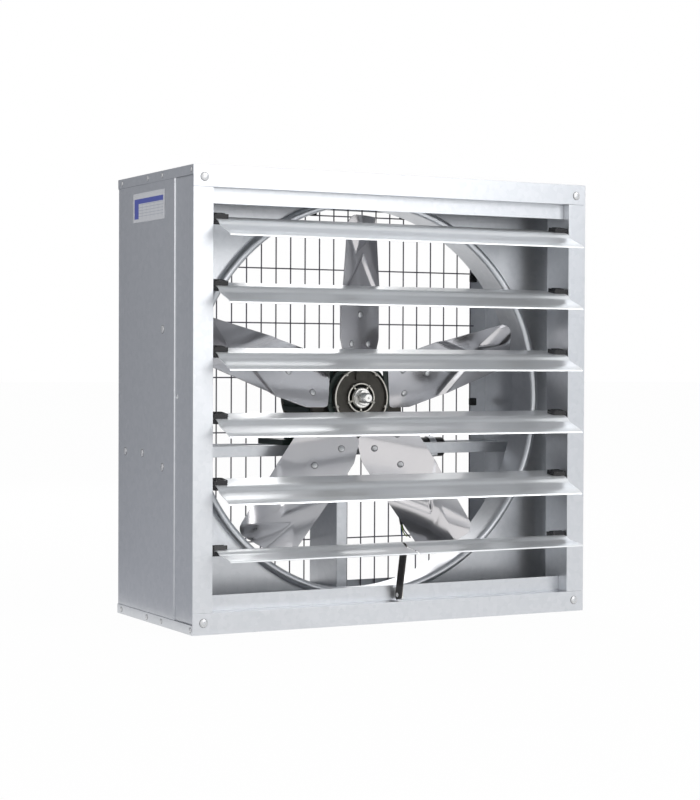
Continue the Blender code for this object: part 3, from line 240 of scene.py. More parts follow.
def makePlateFinish(look):
    # across and down run from the ruled part's corner, as the plate is read. A band or a rule shows where the
    # tests on them give 1. Each sum has a name, an operation and two inputs
    material, tree = newMaterial("printedFilm")
    shader = tree.nodes["Principled BSDF"]
    shader.inputs["Roughness"].default_value = look["rough"]
    place = addNode(tree, "ShaderNodeTexCoord").outputs["Object"]
    axes = addNode(tree, "ShaderNodeSeparateXYZ", inputs={"Vector": place}).outputs
    border, topBorder, lineWidth = pick(look, "border topBorder lineWidth")
    inner, deep = look["width"] - 2 * border, look["height"] - topBorder - border
    sums = (
        ("fromFront", "SUBTRACT", "y", look["frontY"] + border),
        ("across", "SUBTRACT", inner, "fromFront"),
        ("down", "SUBTRACT", look["topZ"] - topBorder, "z"),
        ("pastStart", "GREATER_THAN", "across", 0.0),
        ("beforeEnd", "LESS_THAN", "across", inner),
        ("pastTop", "GREATER_THAN", "down", 0.0),
        ("beforeFoot", "LESS_THAN", "down", deep),
        ("inWidth", "MULTIPLY", "pastStart", "beforeEnd"),
        ("inHeight", "MULTIPLY", "pastTop", "beforeFoot"),
        ("inside", "MULTIPLY", "inWidth", "inHeight"),
        ("head", "LESS_THAN", "down", look["headHeight"]),
        ("column", "LESS_THAN", "across", look["columnWidth"]),
        ("headOrColumn", "MAXIMUM", "head", "column"),
        ("band", "MULTIPLY", "headOrColumn", "inside"),
        ("inRow", "FLOORED_MODULO", "down", look["rowPitch"]),
        ("rowLine", "LESS_THAN", "inRow", lineWidth),
        ("inColumn", "FLOORED_MODULO", "across", look["columnPitch"]),
        ("columnLine", "LESS_THAN", "inColumn", lineWidth),
        ("line", "MAXIMUM", "rowLine", "columnLine"),
        ("rule", "MULTIPLY", "line", "inside"),
    )
    made = {"y": axes["Y"], "z": axes["Z"]}
    for name, operation, first, second in sums:
        made[name] = addNode(tree, "ShaderNodeMath", {"operation": operation}, {
            0: made.get(first, first), 1: made.get(second, second)}).outputs[0]
    ruled = addNode(tree, "ShaderNodeMix", {"data_type": "RGBA"}, {
        0: made["rule"], 6: linear(look["film"]), 7: linear(look["line"])})
    banded = addNode(tree, "ShaderNodeMix", {"data_type": "RGBA"}, {
        0: made["band"], 6: ruled.outputs[2], 7: linear(look["band"])})
    tree.links.new(banded.outputs[2], shader.inputs["Base Color"])
    return material


finishes["printedFilm"] = makePlateFinish(plateLook)
finishOfSlot = {
    "galvanised": "galvanisedSheet", "louvre_aluminium": "extrudedAluminium", "black_plastic": "mouldedNylon",
    "dark_steel": "blackenedSteel", "zinc_steel": "zincPlate", "blade_steel": "brightStainless",
    "motor_paint": "motorEnamel", "dark_casting": "darkCasting", "black_rubber": "leadSheath",
    "blue_insulation": "blueCore", "green_insulation": "greenCore", "guard_wire": "dullWire",
    "plate_film": "printedFilm",
}
print("made", len(finishes), "finishes")


# Shapes: each is (points, faces, number of its finish)


def gridFaces(rows, columns, wrapRows=False, wrapColumns=False):
    # corner numbers of every cell of a grid of points, row by row
    rowNumbers, columnNumbers = np.arange(rows - (not wrapRows)), np.arange(columns - (not wrapColumns))
    a, b = np.meshgrid(rowNumbers, columnNumbers, indexing="ij")
    nextA, nextB = (a + 1) % rows, (b + 1) % columns
    corners = (a * columns + b, nextA * columns + b, nextA * columns + nextB, a * columns + nextB)
    return np.stack(corners, axis=-1).reshape(-1, 4).tolist()


def roundedPath(points, radius, steps=4):
    # each inner corner becomes a curve that starts and ends one radius from it: (1-t)^2 P + 2t(1-t) C + t^2 Q
    points = np.array(points, float)
    share = np.linspace(0, 1, steps + 1)[:, None]
    parts = [points[:1]]
    for before, corner, after in zip(points[:-2], points[1:-1], points[2:]):
        back, ahead = before - corner, after - corner
        reach = min(radius, 0.45 * np.linalg.norm(back), 0.45 * np.linalg.norm(ahead))
        start = corner + back / np.linalg.norm(back) * reach
        end = corner + ahead / np.linalg.norm(ahead) * reach
        parts.append((1 - share) ** 2 * start + 2 * share * (1 - share) * corner + share ** 2 * end)
    return np.concatenate(parts + [points[-1:]])


def directions(path):
    # the unit step along a path, at each of its points
    step = np.gradient(path, axis=0)
    return step / np.linalg.norm(step, axis=1)[:, None]


def thickened(path, thickness):
    # a sheet's section: the path, and back along the path moved to its left by the thickness
    step = directions(path)
    left = np.stack([-step[:, 1], step[:, 0]], axis=1)
    return np.concatenate([path, (path + left * thickness)[::-1]])


def fullTurn(steps):
    return np.linspace(0, 2 * np.pi, steps, endpoint=False)


def turnedShape(profile, centre, direction, steps, finish=0):
    # centre + direction * distance + radius * (side cos t + other sin t), for every profile point and angle
    along = Vector(direction).normalized()
    side = along.orthogonal().normalized()
    other = along.cross(side)
    turn = fullTurn(steps)
    spokes = np.outer(np.cos(turn), side) + np.outer(np.sin(turn), other)
    profile = np.array(profile, float)
    points = np.array(centre) + profile[:, None, 1:] * np.array(along) + profile[:, None, :1] * spokes
    wrap = profile[0, 0] > 0
    return points.reshape(-1, 3), gridFaces(len(profile), steps, wrap, True), finish


def tubeShape(path, radius, sides):
    # path point + radius * (level cos t + across sin t), on axes square to the path; both ends closed. The first
    # axis is square to Y too, or to X where the path runs nearly along Y
    path = np.array(path, float)
    step = directions(path)
    reference = np.where(np.abs(step[:, 1:2]) < 0.9, (0.0, 1.0, 0.0), (1.0, 0.0, 0.0))
    level = np.cross(step, reference)
    level /= np.linalg.norm(level, axis=1)[:, None]
    across = np.cross(step, level)
    turn = fullTurn(sides)[:, None]
    ring = level[:, None] * np.cos(turn) + across[:, None] * np.sin(turn)
    points = (path[:, None] + radius * ring).reshape(-1, 3)
    last = len(path) * sides
    caps = [list(range(sides)), list(range(last - 1, last - sides - 1, -1))]
    return points, gridFaces(len(path), sides, False, True) + caps, 0


def moved(shape, matrix):
    # the shape with a 4x4 matrix applied to every point
    points, faces, finish = shape
    matrix = np.array(matrix)
    return points @ matrix[:3, :3].T + matrix[:3, 3], faces, finish


headSink = 0.0004  # how far a head reaches into what it stands on


def domeProfile(radius, height, brim=0.15, steps=5):
    # a low head: a short upright brim, then a quarter ellipse to the top
    turn = np.linspace(0, np.pi / 2, steps + 1)
    curve = np.column_stack([radius * np.cos(turn), height * (brim + (1 - brim) * np.sin(turn))])
    return np.concatenate([[(0, -headSink), (radius, -headSink)], curve[:-1], [(0, height)]])


def tidyMesh(bm, mergeGap=1e-6):
    bmesh.ops.remove_doubles(bm, verts=bm.verts, dist=mergeGap)
    bmesh.ops.recalc_face_normals(bm, faces=bm.faces)


def shownObject(name, mesh, finishNames, body, replaced, sharpDeg):
    mesh.shade_smooth()
    mesh.set_sharp_from_angle(angle=math.radians(sharpDeg))
    obj = newObject(name, mesh)
    for finish in finishNames:
        mesh.materials.append(finishes[finish])
    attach(obj, body)
    if replaced:
        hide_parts(*replaced)
    return obj


def addPiece(name, shapes, finishNames, body, replaced=(), sharpDeg=38):
    # one mesh of all the shapes, in which each keeps the number of its own finish
    points, faces, numbers, base = [], [], [], 0
    for shapePoints, shapeFaces, finish in shapes:
        faces += [[corner + base for corner in face] for face in shapeFaces]
        numbers += finish if isinstance(finish, list) else [finish] * len(shapeFaces)
        points.append(shapePoints)
        base += len(shapePoints)
    mesh = bpy.data.meshes.new(name)
    mesh.from_pydata(np.concatenate(points).tolist(), [], faces)
    mesh.polygons.foreach_set("material_index", numbers)
    bm = bmesh.new()
    bm.from_mesh(mesh)
    tidyMesh(bm)
    bm.to_mesh(mesh)
    bm.free()
    return shownObject(name, mesh, finishNames, body, replaced, sharpDeg)


def standIn(name, nodeName, shapes, finishName=None, sharpDeg=38):
    # a finer piece in a node's place: it rides on the node's body and takes the finish of the node's slot unless
    # one is given
    slot = slotOf[nodeName]
    finishNames = [finishName or finishOfSlot[slot]]
    return addPiece(name, shapes, finishNames, bodyOf[nodeName], [nodeName], sharpDeg)


def roundEdges(obj, width, angleDeg=40):
    modifier = obj.modifiers.new("soft edges", "BEVEL")
    modifier.width = width
    modifier.segments = 2
    modifier.limit_method = "ANGLE"
    modifier.angle_limit = math.radians(angleDeg)
    # large flat faces keep their own normal right up to the rounding
    evened = obj.modifiers.new("even shading", "WEIGHTED_NORMAL")
    evened.keep_sharp = True
    evened.weight = 100


def addWall(sheet, front, thickness):
    # the sheet's own face is the front one, and the wall grows behind it, with crisp edges all round
    if sheet.data.polygons[0].normal.dot(front) < 0:
        sheet.data.flip_normals()
    bm = bmesh.new()
    bm.from_mesh(sheet.data)
    for edge in bm.edges:
        edge.smooth = edge.smooth and not edge.is_boundary
    bm.to_mesh(sheet.data)
    bm.free()
    wall = sheet.modifiers.new("wall", "SOLIDIFY")
    wall.thickness = thickness
    wall.offset = -1
    wall.use_even_offset = True


bodyOf = {name: body for body, names in frame["record"]["behaviour"]["bodies"].items() for name in names}
finishOfNode = {"stator_core": "varnishedCore", "rotor_core": "varnishedCore"}
softLook = {"mergeGap": 1e-5, "flatDeg": 0.3, "sharpDeg": 32}


def softened(nodeName, edge, look):
    # the piece's own form, merged and with its flat faces joined, then every edge rounded a little
    bm = bmesh.new()
    bm.from_mesh(nodes[nodeName].data)
    tidyMesh(bm, look["mergeGap"])
    flat = math.radians(look["flatDeg"])
    bmesh.ops.dissolve_limit(bm, angle_limit=flat, verts=bm.verts, edges=bm.edges)
    mesh = bpy.data.meshes.new(nodeName + "_made")
    bm.to_mesh(mesh)
    bm.free()
    slot = slotOf[nodeName]
    finish = finishOfNode.get(nodeName, finishOfSlot[slot])
    obj = shownObject(mesh.name, mesh, [finish], bodyOf[nodeName], [nodeName], look["sharpDeg"])
    roundEdges(obj, edge)


# Pieces whose solids have the whole shape: folded sheet, castings and mouldings, by the round on their edges
softEdges = {
    0.0002: ("capacitor_clamp",),
    0.0003: ("top_panel", "bottom_panel", "stay_bracket", "motor_front_bearing", "motor_rear_bearing"),
    0.0004: ("front_frame_bottom", "front_frame_top", "front_frame_left", "front_frame_right", "cable_gland"),
    0.0005: ("left_side_panel", "right_side_panel", "stay_lever", "hub_spider", "shaft_nut", "stator_core",
             "rotor_core"),
    0.0006: ("motor_rail_front", "motor_rail_rear", "motor_post", "motor_housing"),
    0.0010: ("terminal_box", "terminal_lid"),
}
for edgeWidth, partNames in softEdges.items():
    for partName in partNames:
        softened(partName, edgeWidth, softLook)
print("sheet metal and motor casing done")

# Fixing heads: smooth domes over the sheets' small heads, each on a thin dark ring of painted contact shade.
# Rivets: radius, height
headLook = {
    "half": 0.4, "frontY": -0.175, "panelX": 0.3985, "screwInset": 0.0205, "screwRadius": 0.0070,
    "screwHeight": 0.0029, "screwDome": 0.8, "screwRings": 22, "screwSides": 72, "recess": 0.0012,
    "recessWidth": 0.0011, "recessReach": 0.0034, "rivet": (0.0066, 0.0021), "lipRivet": (0.0044, 0.0016),
    "lipMiddle": 0.0085,
    "panelPlaces": ((0.139, 0.522), (0.139, 0.280), (0.233, 0.301), (0.315, 0.301)),
    "lipPlaces": (0.010, 0.139, 0.206, 0.330),
}
rimShadeLook = {"widen": 1.10, "low": -0.0003, "high": 0.00025, "sides": 36}
# the second finish is painted contact shade round each head
headFinishes = ["screwZinc", "paintedRimShade"]


def crossScrew(look, x, z):
    # height * sqrt(1 - dome * r^2) on a polar grid, pushed in where a cross lies over it
    rings, sides, wide, high, frontY = pick(look, "screwRings screwSides screwRadius screwHeight frontY")
    radius, turn = np.linspace(0, 1, rings)[:, None], fullTurn(sides)[None]
    across, up = radius * wide * np.cos(turn), radius * wide * np.sin(turn)
    height = high * np.sqrt(1 - look["screwDome"] * radius ** 2) + 0 * turn
    inArm = np.minimum(np.abs(across), np.abs(up)) < look["recessWidth"] / 2
    inReach = np.maximum(np.abs(across), np.abs(up)) < look["recessReach"]
    top = np.stack([x + across, frontY - height + look["recess"] * (inArm & inReach), z + up], axis=-1)
    brim = top[-1:].copy()
    brim[..., 1] = frontY + headSink
    points = np.concatenate([top, brim]).reshape(-1, 3)
    faces = gridFaces(rings + 1, sides, False, True) + [list(range(rings * sides, (rings + 1) * sides))]
    return points, faces, 0


def rimShadeRing(radius, centre, direction, look=rimShadeLook):
    # a flat disc a little wider than the head that stands on it, in the dark second finish: painted contact shade
    wide = radius * look["widen"]
    profile = [(0, look["low"]), (wide, look["low"]), (wide, look["high"]), (0, look["high"])]
    return turnedShape(profile, centre, direction, look["sides"], 1)


def rivetShapes(radius, height, centre, direction, sides, *roundness):
    # a domed head, with the ring of painted contact shade round it. Roundness is the dome's brim and its steps
    head = turnedShape(domeProfile(radius, height, *roundness), centre, direction, sides)
    return [head, rimShadeRing(radius, centre, direction)]


def fixingShapes(look):
    # four screws in the frame's corners, then the rivets of each side's panel and of its folded lips
    half, frontY, screws, rivets = look["half"], look["frontY"], [], []
    reach = half - look["screwInset"]
    for x, z in ((-reach, half - reach), (-reach, half + reach), (reach, half - reach), (reach, half + reach)):
        screws.append(crossScrew(look, x, z))
        screws.append(rimShadeRing(look["screwRadius"], (x, frontY, z), (0, -1, 0)))
    for side in (-1, 1):
        for fromFront, z in look["panelPlaces"]:
            centre = (side * look["panelX"], frontY + fromFront, z)
            rivets += rivetShapes(*look["rivet"], centre, (side, 0, 0), 32)
        for fromFront in look["lipPlaces"]:
            for z in (look["lipMiddle"], 2 * half - look["lipMiddle"]):
                rivets += rivetShapes(*look["lipRivet"], (side * half, frontY + fromFront, z), (side, 0, 0), 28)
    return screws, rivets


screwShapes, sideRivets = fixingShapes(headLook)
addPiece("corner_screws", screwShapes, headFinishes, "housing")
addPiece("side_rivets", sideRivets, headFinishes, "housing")
print("fixings done")

# Air ring and its plate, round to a tenth of a millimetre
ringLook = {
    "plateY": -0.055, "throat": 0.353, "bead": 0.0075, "beadSteps": 15, "length": 0.055, "sheet": 0.0012,
    "gap": 0.0003, "flange": 0.027, "half": (0.3955, 0.3985), "steps": 192,
}
axisZ = 0.4  # height of the fan's axis


def ringSection(look):
    # (radius, distance behind the front): a straight throat, then half a circle rolled out over the plate
    throat, bead, gap = pick(look, "throat bead gap")
    turn = np.linspace(0, np.pi, look["beadSteps"])
    curve = np.column_stack([throat + bead * (1 - np.cos(turn)), -bead - bead * np.sin(turn)])
    path = [[(throat, look["length"]), (throat, 0.0)], curve, [(throat + 2 * bead, -gap)]]
    return thickened(np.concatenate(path), look["sheet"])


def ringPlate(look):
    # loops from the round hole out to the walls, folded back at the edge. A loop's point is half * (cos t, sin t)
    # and, at the walls, that divided by the larger of |cos t| and |sin t|
    throat, sheet, gap, plateY, half, steps = pick(look, "throat sheet gap plateY half steps")
    turn, edgeY = fullTurn(steps), plateY + look["flange"]
    circle = np.column_stack([np.cos(turn), np.sin(turn)])
    straight = circle / np.abs(circle).max(axis=1)[:, None]
    hole, outer, inner = circle * (throat + sheet + gap), straight * half, straight * (np.array(half) - sheet)
    middle = (hole + outer) / 2
    loops = [(hole, plateY), (middle, plateY), (outer, plateY), (outer, edgeY), (inner, edgeY),
             (inner, plateY + sheet), (middle, plateY + sheet), (hole, plateY + sheet)]
    rings = [np.column_stack([loop[:, 0], np.full_like(turn, y), axisZ + loop[:, 1]]) for loop, y in loops]
    return np.concatenate(rings), gridFaces(len(loops), steps, True, True), 0


ringShape = turnedShape(ringSection(ringLook), (0, ringLook["plateY"], axisZ), (0, 1, 0), ringLook["steps"])
standIn("air_ring", "venturi_ring", [ringShape])
standIn("air_ring_plate", "venturi_panel", [ringPlate(ringLook)])
print("air ring done")

# Louvres: one extruded section with rolled bends and a turned-down tip. The lowest has the lever's notch
louvreLook = {
    "count": 6, "pivotY": -0.163, "topZ": 0.711, "pitch": 0.1136, "half": 0.3573, "sheet": 0.0012,
    "bend": 0.0035,
    "path": ((0.0460, 0.0060), (0.0430, 0.0061), (0.0060, 0.0007), (-0.0120, -0.0020), (-0.0200, -0.0060),
             (-0.0270, -0.0130), (-0.0400, -0.0185), (-0.0560, -0.0240), (-0.0682, -0.0298),
             (-0.0692, -0.0326)),
    "lowestDeg": -14.0, "notchX": 0.008, "notchWidth": 0.005, "notchEnd": -0.0085,
}


def louvreTurn(number, look):
    # places a louvre's own frame on its pivot
    tilt = math.radians(look["lowestDeg"]) if number == look["count"] - 1 else 0
    pivot = Matrix.Translation((0, look["pivotY"], look["topZ"] - number * look["pitch"]))
    return pivot @ Matrix.Rotation(tilt, 4, "X")


def louvreSheet(look, notched):
    # the (y, z) section carried along x. Where it is notched, the cells between the notch's sides that lie in
    # front of its end are left out
    section = roundedPath(look["path"], look["bend"])
    low, high = look["notchX"] - look["notchWidth"] / 2, look["notchX"] + look["notchWidth"] / 2
    backward = -np.unique(-np.append(section[:, 0], look["notchEnd"]))
    height = np.interp(-backward, -section[:, 0], section[:, 1])
    along = np.array((-look["half"], low, high, look["half"]))[:, None]
    grid = np.stack(np.broadcast_arrays(along, backward, height), axis=-1)
    faces = gridFaces(len(along), len(backward))
    cells = len(backward) - 1
    if notched:
        inFront = backward[1:] < look["notchEnd"] - 1e-6
        faces = [face for k, face in enumerate(faces) if not (k // cells == 1 and inFront[k % cells])]
    return grid.reshape(-1, 3), faces, 0


for number in range(louvreLook["count"]):
    name = f"louvre_{number + 1}"
    turn = louvreTurn(number, louvreLook)
    strip = moved(louvreSheet(louvreLook, number == louvreLook["count"] - 1), turn)
    leaf = standIn(name + "_blade", name, [strip], sharpDeg=50)
    addWall(leaf, turn.to_3x3() @ Vector((0, 0, 1)), louvreLook["sheet"])
print("louvres done")

# End clips: a moulded block round the leaf's end, a raised loop with ribs on each face, and the pivot pin
clipLook = {
    "outer": 0.3615, "width": 0.028, "front": 0.0105, "rear": 0.0150, "halfHeight": 0.0085,
    "slotHalf": 0.0009, "corner": 0.003, "rim": 0.0016, "rimLift": 0.0012, "rimInset": 0.0042,
    "rimCorner": 0.002, "rimSink": 0.0002, "ribs": (-0.0052, 0.0, 0.0052), "ribHalf": 0.0006,
    "ribCorner": 0.0004, "webHalf": 0.0018, "webShort": 0.0005, "webCorner": 0.0008, "pinRadius": 0.0035,
    "pinStart": 0.3585, "pinEnd": 0.3670, "pinChamfer": 0.0006, "edge": 0.0004,
}
leafRear, leafFront = louvreLook["path"][0], louvreLook["path"][3]
leafSlope = math.atan2(leafRear[1] - leafFront[1], leafRear[0] - leafFront[0])
leafMiddle = leafFront[1] - leafFront[0] * math.tan(leafSlope) - louvreLook["sheet"] / 2


def roundedRectangle(halfX, halfY, radius, steps=5):
    # points of a rectangle with quarter-circle corners, in order round it
    turn = np.linspace(0, np.pi / 2, steps + 1)
    parts = [np.column_stack([sx * (halfX - radius) + radius * np.cos(turn + k * np.pi / 2),
                              sy * (halfY - radius) + radius * np.sin(turn + k * np.pi / 2)])
             for k, (sx, sy) in enumerate(((1, 1), (-1, 1), (-1, -1), (1, -1)))]
    return np.concatenate(parts)


def prismUp(outline, low, high, finish=0):
    # a flat (x, y) outline carried from z = low to z = high
    count = len(outline)
    points = np.concatenate([np.column_stack([outline, np.full(count, z)]) for z in (low, high)])
    faces = gridFaces(2, count, False, True) + [list(range(count)), list(range(2 * count - 1, count - 1, -1))]
    return points, faces, finish


def loopUp(outline, inner, low, high):
    # a raised loop: the outline's wall, its top, and the inner outline's wall
    rings = [(outline, low), (outline, high), (inner, high), (inner, low)]
    points = np.concatenate([np.column_stack([ring, np.full(len(ring), z)]) for ring, z in rings])
    return points, gridFaces(4, len(outline), True, True), 0


def clipShapes(side, look):
    # in the leaf's own frame: x along the louvre, y back along the leaf, z off it
    outer, front, rear, high, slot, corner, rim = pick(look, "outer front rear halfHeight slotHalf corner rim")
    inset, lift, webHalf = pick(look, "rimInset rimLift webHalf")
    halfX, halfY = look["width"] / 2, (rear + front) / 2
    middle = np.array((side * (outer - halfX), (rear - front) / 2))
    wide = roundedRectangle(halfX, halfY, corner) + middle
    rimOuter = roundedRectangle(halfX - inset, halfY - inset, corner) + middle
    rimInner = roundedRectangle(halfX - inset - rim, halfY - inset - rim, look["rimCorner"]) + middle
    rib = roundedRectangle(look["ribHalf"], halfY - inset - 2 * rim, look["ribCorner"]) + middle
    shapes = []
    for sign in (-1, 1):
        low = sign * (high - look["rimSink"])
        shapes.append(prismUp(wide, *sorted((sign * slot, sign * high))))
        shapes.append(loopUp(rimOuter, rimInner, *sorted((low, sign * (high + lift)))))
        shapes += [prismUp(rib + (x, 0), *sorted((low, sign * (high + lift / 2)))) for x in look["ribs"]]
    web = roundedRectangle(webHalf, halfY - look["webShort"], look["webCorner"])
    return shapes + [prismUp(web + (side * (outer - webHalf), middle[1]), -slot, slot)]


def pinShape(side, turn, look):
    # a chamfered round pin on the pivot, from inside the clip to its bearing in the wall
    radius, chamfer, start, end = pick(look, "pinRadius pinChamfer pinStart pinEnd")
    length = end - start
    profile = [(0, 0), (radius, 0), (radius, length - chamfer), (radius - chamfer, length), (0, length)]
    return turnedShape(profile, turn @ Vector((side * start, 0, 0)), (side, 0, 0), 24)


for number in range(louvreLook["count"]):
    turn = louvreTurn(number, louvreLook)
    leafFrame = turn @ Matrix.Translation((0, 0, leafMiddle)) @ Matrix.Rotation(leafSlope, 4, "X")
    for side, word in ((-1, "left"), (1, "right")):
        name = f"louvre_clip_{word}_{number + 1}"
        shapes = [moved(shape, leafFrame) for shape in clipShapes(side, clipLook)]
        shapes.append(pinShape(side, turn, clipLook))
        clip = standIn(name + "_moulding", name, shapes, "polishedNylon")
        roundEdges(clip, clipLook["edge"])
print("louvre clips done")

# Blades: a flat root on the arm that ends in a pressed point, a step up beyond it, and a steeper, folded tip
bladeLook = {
    "wheelY": -0.020, "pitchDeg": 25.0, "twistDeg": 9.0, "count": 5, "root": 0.066, "shoulder": 0.110,
    "tip": 0.337, "halfRoot": 0.044, "half": 0.059, "halfTip": 0.055, "corner": 0.020, "lift": 0.0018,
    "sheet": 0.0018, "armEnd": 0.172, "camber": 0.0040, "rootCorner": 0.007,
    "point": 0.2625, "pointSpread": 0.75, "stepWidth": 0.012, "stepHeight": 0.0036, "soft": 0.0010,
    "fold": (0.265, -0.024), "foldTurnDeg": 11.5, "foldSpread": 0.90, "foldSlope": 0.17, "foldMost": 0.008,
    "rivets": ((0.100, -0.025), (0.100, 0.025), (0.154, 0.0)), "rivet": (0.0058, 0.0026), "brim": 0.25,
    "coarseFrom": 0.30, "cornerRows": 9, "fineRows": 78, "coarseRows": 12, "columns": 61,
}


def bladeFrame(number, look):
    # x along the blade, y along its chord, z off its front
    angle = math.pi / 2 - 2 * math.pi * number / look["count"]
    pitch = math.radians(look["pitchDeg"])
    along = Vector((math.cos(angle), 0, math.sin(angle)))
    clockwise = Vector((math.sin(angle), 0, -math.cos(angle)))
    chord = clockwise * math.cos(pitch) + Vector((0, math.sin(pitch), 0))
    turn = Matrix((along, chord, chord.cross(along))).transposed().to_4x4()
    return Matrix.Translation((0, look["wheelY"], axisZ)) @ turn


def turnedPair(x, y, angle):
    # x cos t + y sin t, and y cos t - x sin t
    return x * np.cos(angle) + y * np.sin(angle), y * np.cos(angle) - x * np.sin(angle)


def bladeSurface(look):
    # rows along the blade, columns across it. Height is a bow, a smooth step outside the point's two sides, and
    # a slope inside the fold's two sides: 0.5 (d + sqrt(d^2 + soft^2)), where d is how far inside a place is.
    # Last, each row turns about the sheet's back by its share of the twist
    root, tip, armEnd, corner, rootCorner, soft = pick(look, "root tip armEnd corner rootCorner soft")
    coarse, widest, spread, most = pick(look, "coarseFrom half pointSpread foldMost")
    bend = np.linspace(0, np.pi / 2, look["cornerRows"])
    along = np.concatenate([
        root + rootCorner * (1 - np.cos(bend))[:-1], np.linspace(root + rootCorner, coarse, look["fineRows"]),
        np.linspace(coarse, tip - corner, look["coarseRows"])[1:], tip - corner + corner * np.sin(bend)[1:],
    ])
    half = np.interp(along, (root, look["shoulder"], armEnd, tip - corner),
                     (look["halfRoot"], widest, widest, look["halfTip"]))
    for past, arc in ((root + rootCorner - along, rootCorner), (along - tip + corner, corner)):
        half = half - arc * (1 - np.sqrt(1 - np.clip(past / arc, 0, 1) ** 2))
    across = half[:, None] * np.linspace(-1, 1, look["columns"])[None]
    along = along[:, None] + 0 * across
    bow = np.clip((along - armEnd) / (tip - armEnd), 0, 1)
    height = look["camber"] * bow * (1 - (across / widest) ** 2)
    outside = (along - look["point"]) * spread + np.sqrt(across ** 2 + soft ** 2)
    share = np.clip(outside / math.hypot(1, spread) / look["stepWidth"] + 0.5, 0, 1)
    height = height + look["stepHeight"] * share ** 2 * (3 - 2 * share)
    foldX, foldY = look["fold"]
    ahead, aside = turnedPair(along - foldX, across - foldY, math.radians(look["foldTurnDeg"]))
    inside = ahead * look["foldSpread"] - np.sqrt(aside ** 2 + soft ** 2)
    lifted = 0.5 * (inside + np.sqrt(inside ** 2 + soft ** 2)) * look["foldSlope"]
    height = look["sheet"] + height + most * np.tanh(lifted / most)
    across, height = turnedPair(across, height, math.radians(look["twistDeg"]) * bow)
    points = np.stack([along, across, look["lift"] + height], axis=-1)
    return points.reshape(-1, 3), gridFaces(*across.shape), 0


def bladeHeads(look):
    heads = []
    for along, across in look["rivets"]:
        centre = (along, across, look["lift"] + look["sheet"])
        heads += rivetShapes(*look["rivet"], centre, (0, 0, 1), 36, look["brim"], 6)
    return heads


for number in range(bladeLook["count"]):
    place = bladeFrame(number, bladeLook)
    name = f"blade_{number + 1}"
    sheetBlade = standIn(name + "_pressing", name, [moved(bladeSurface(bladeLook), place)], sharpDeg=60)
    addWall(sheetBlade, place.to_3x3() @ Vector((0, 0, 1)), bladeLook["sheet"])
    rivets = [moved(head, place) for head in bladeHeads(bladeLook)]
    addPiece(name + "_rivets", rivets, headFinishes, "rotor")
print("blades done")

# Hub casting: a dish with a turned rim, a collar on spokes, knobs, a block above it and a bright boss
hubLook = {
    "baseY": -0.0228, "bore": 0.0098, "radius": 0.056, "height": 0.012, "rim": 0.0032,
    "rimEdge": (0.0008, 0.001), "rimFoot": (0.0018, 0.001), "floor": 0.0045, "foot": 0.002, "collar": 0.028,
    "collarWall": 0.0030, "collarHeight": 0.011, "collarRound": 0.0012, "collarEdge": 0.0006,
    "collarBore": 0.0005, "boss": 0.0195, "bossHeight": 0.013, "bossEdge": 0.0012,
    "knobs": 5, "knobRadius": 0.0030, "knobHeight": 0.0125,
    "knobIn": (0.001, 0.003), "outerKnob": 1.15, "outerKnobOver": 0.0015, "spokeWidth": 0.0032,
    "spokeCorner": 0.0008, "spokeIn": 0.001, "spokeBelow": 0.0012, "blockLow": 0.033, "blockHigh": 0.048,
    "blockHalf": 0.011, "blockHeight": 0.0105, "blockCorner": 0.003, "steps": 128,
}


def hubShapes(look):
    # the dish is a closed (radius, height) section turned about the axis. The third number is the finish from a
    # point to the next one: 0 as cast, 1 turned bright, 2 painted near-black shade on the floor of a slot
    bore, radius, height, floor, foot, collar = pick(look, "bore radius height floor foot collar")
    top, boss, bossHeight = pick(look, "collarHeight boss bossHeight")
    inner, collarInner, knobRadius = radius - look["rim"], collar - look["collarWall"], look["knobRadius"]
    section = np.array([
        (bore, 0, 0), (radius, 0, 0),
        (radius, height - look["rimEdge"][1], 1), (radius - look["rimEdge"][0], height, 1),
        (inner, height, 0), (inner - look["rimFoot"][0], floor + look["rimFoot"][1], 0),
        (collar + look["collarRound"], floor, 0), (collar, floor + look["collarRound"], 0),
        (collar, top - look["collarEdge"], 1), (collar - look["collarEdge"], top, 1),
        (collarInner + look["collarBore"], top, 1), (collarInner, top - look["collarBore"], 2),
        (collarInner, floor, 2), (boss, floor, 2), (boss, floor + foot, 1),
        (boss, bossHeight - look["bossEdge"], 1), (boss - look["bossEdge"], bossHeight, 1),
        (bore, bossHeight, 1),
    ])
    centre = (0, look["baseY"], axisZ)
    points, faces, _ = turnedShape(section[:, :2], centre, (0, -1, 0), look["steps"])
    shapes = [(points, faces, np.repeat(section[:, 2].astype(int), look["steps"]).tolist())]
    spoke = roundedRectangle((collar - boss) / 2, look["spokeWidth"] / 2, look["spokeCorner"])
    spoke = spoke + ((collar + boss) / 2 - look["spokeIn"], 0)
    upright = Matrix.Rotation(math.pi / 2, 4, "X")
    for k in range(look["knobs"]):
        angle = 2 * math.pi * k / look["knobs"] - math.pi / 2
        for reach, wide, high in (
                (collar - look["knobIn"][0], knobRadius, look["knobHeight"]),
                (radius - look["knobIn"][1], knobRadius * look["outerKnob"], height + look["outerKnobOver"])):
            base = (reach * math.cos(angle), look["baseY"], axisZ + reach * math.sin(angle))
            shapes.append(turnedShape(domeProfile(wide, high, 0.85, 4), base, (0, -1, 0), 24, 1))
        place = Matrix.Translation(centre) @ Matrix.Rotation(-angle, 4, "Y") @ upright
        shapes.append(moved(prismUp(spoke, foot, top - look["spokeBelow"], 1), place))
    block = roundedRectangle(look["blockHalf"], (look["blockHigh"] - look["blockLow"]) / 2, look["blockCorner"])
    block = block + (0, (look["blockHigh"] + look["blockLow"]) / 2)
    return shapes + [moved(prismUp(block, foot, look["blockHeight"]), Matrix.Translation(centre) @ upright)]
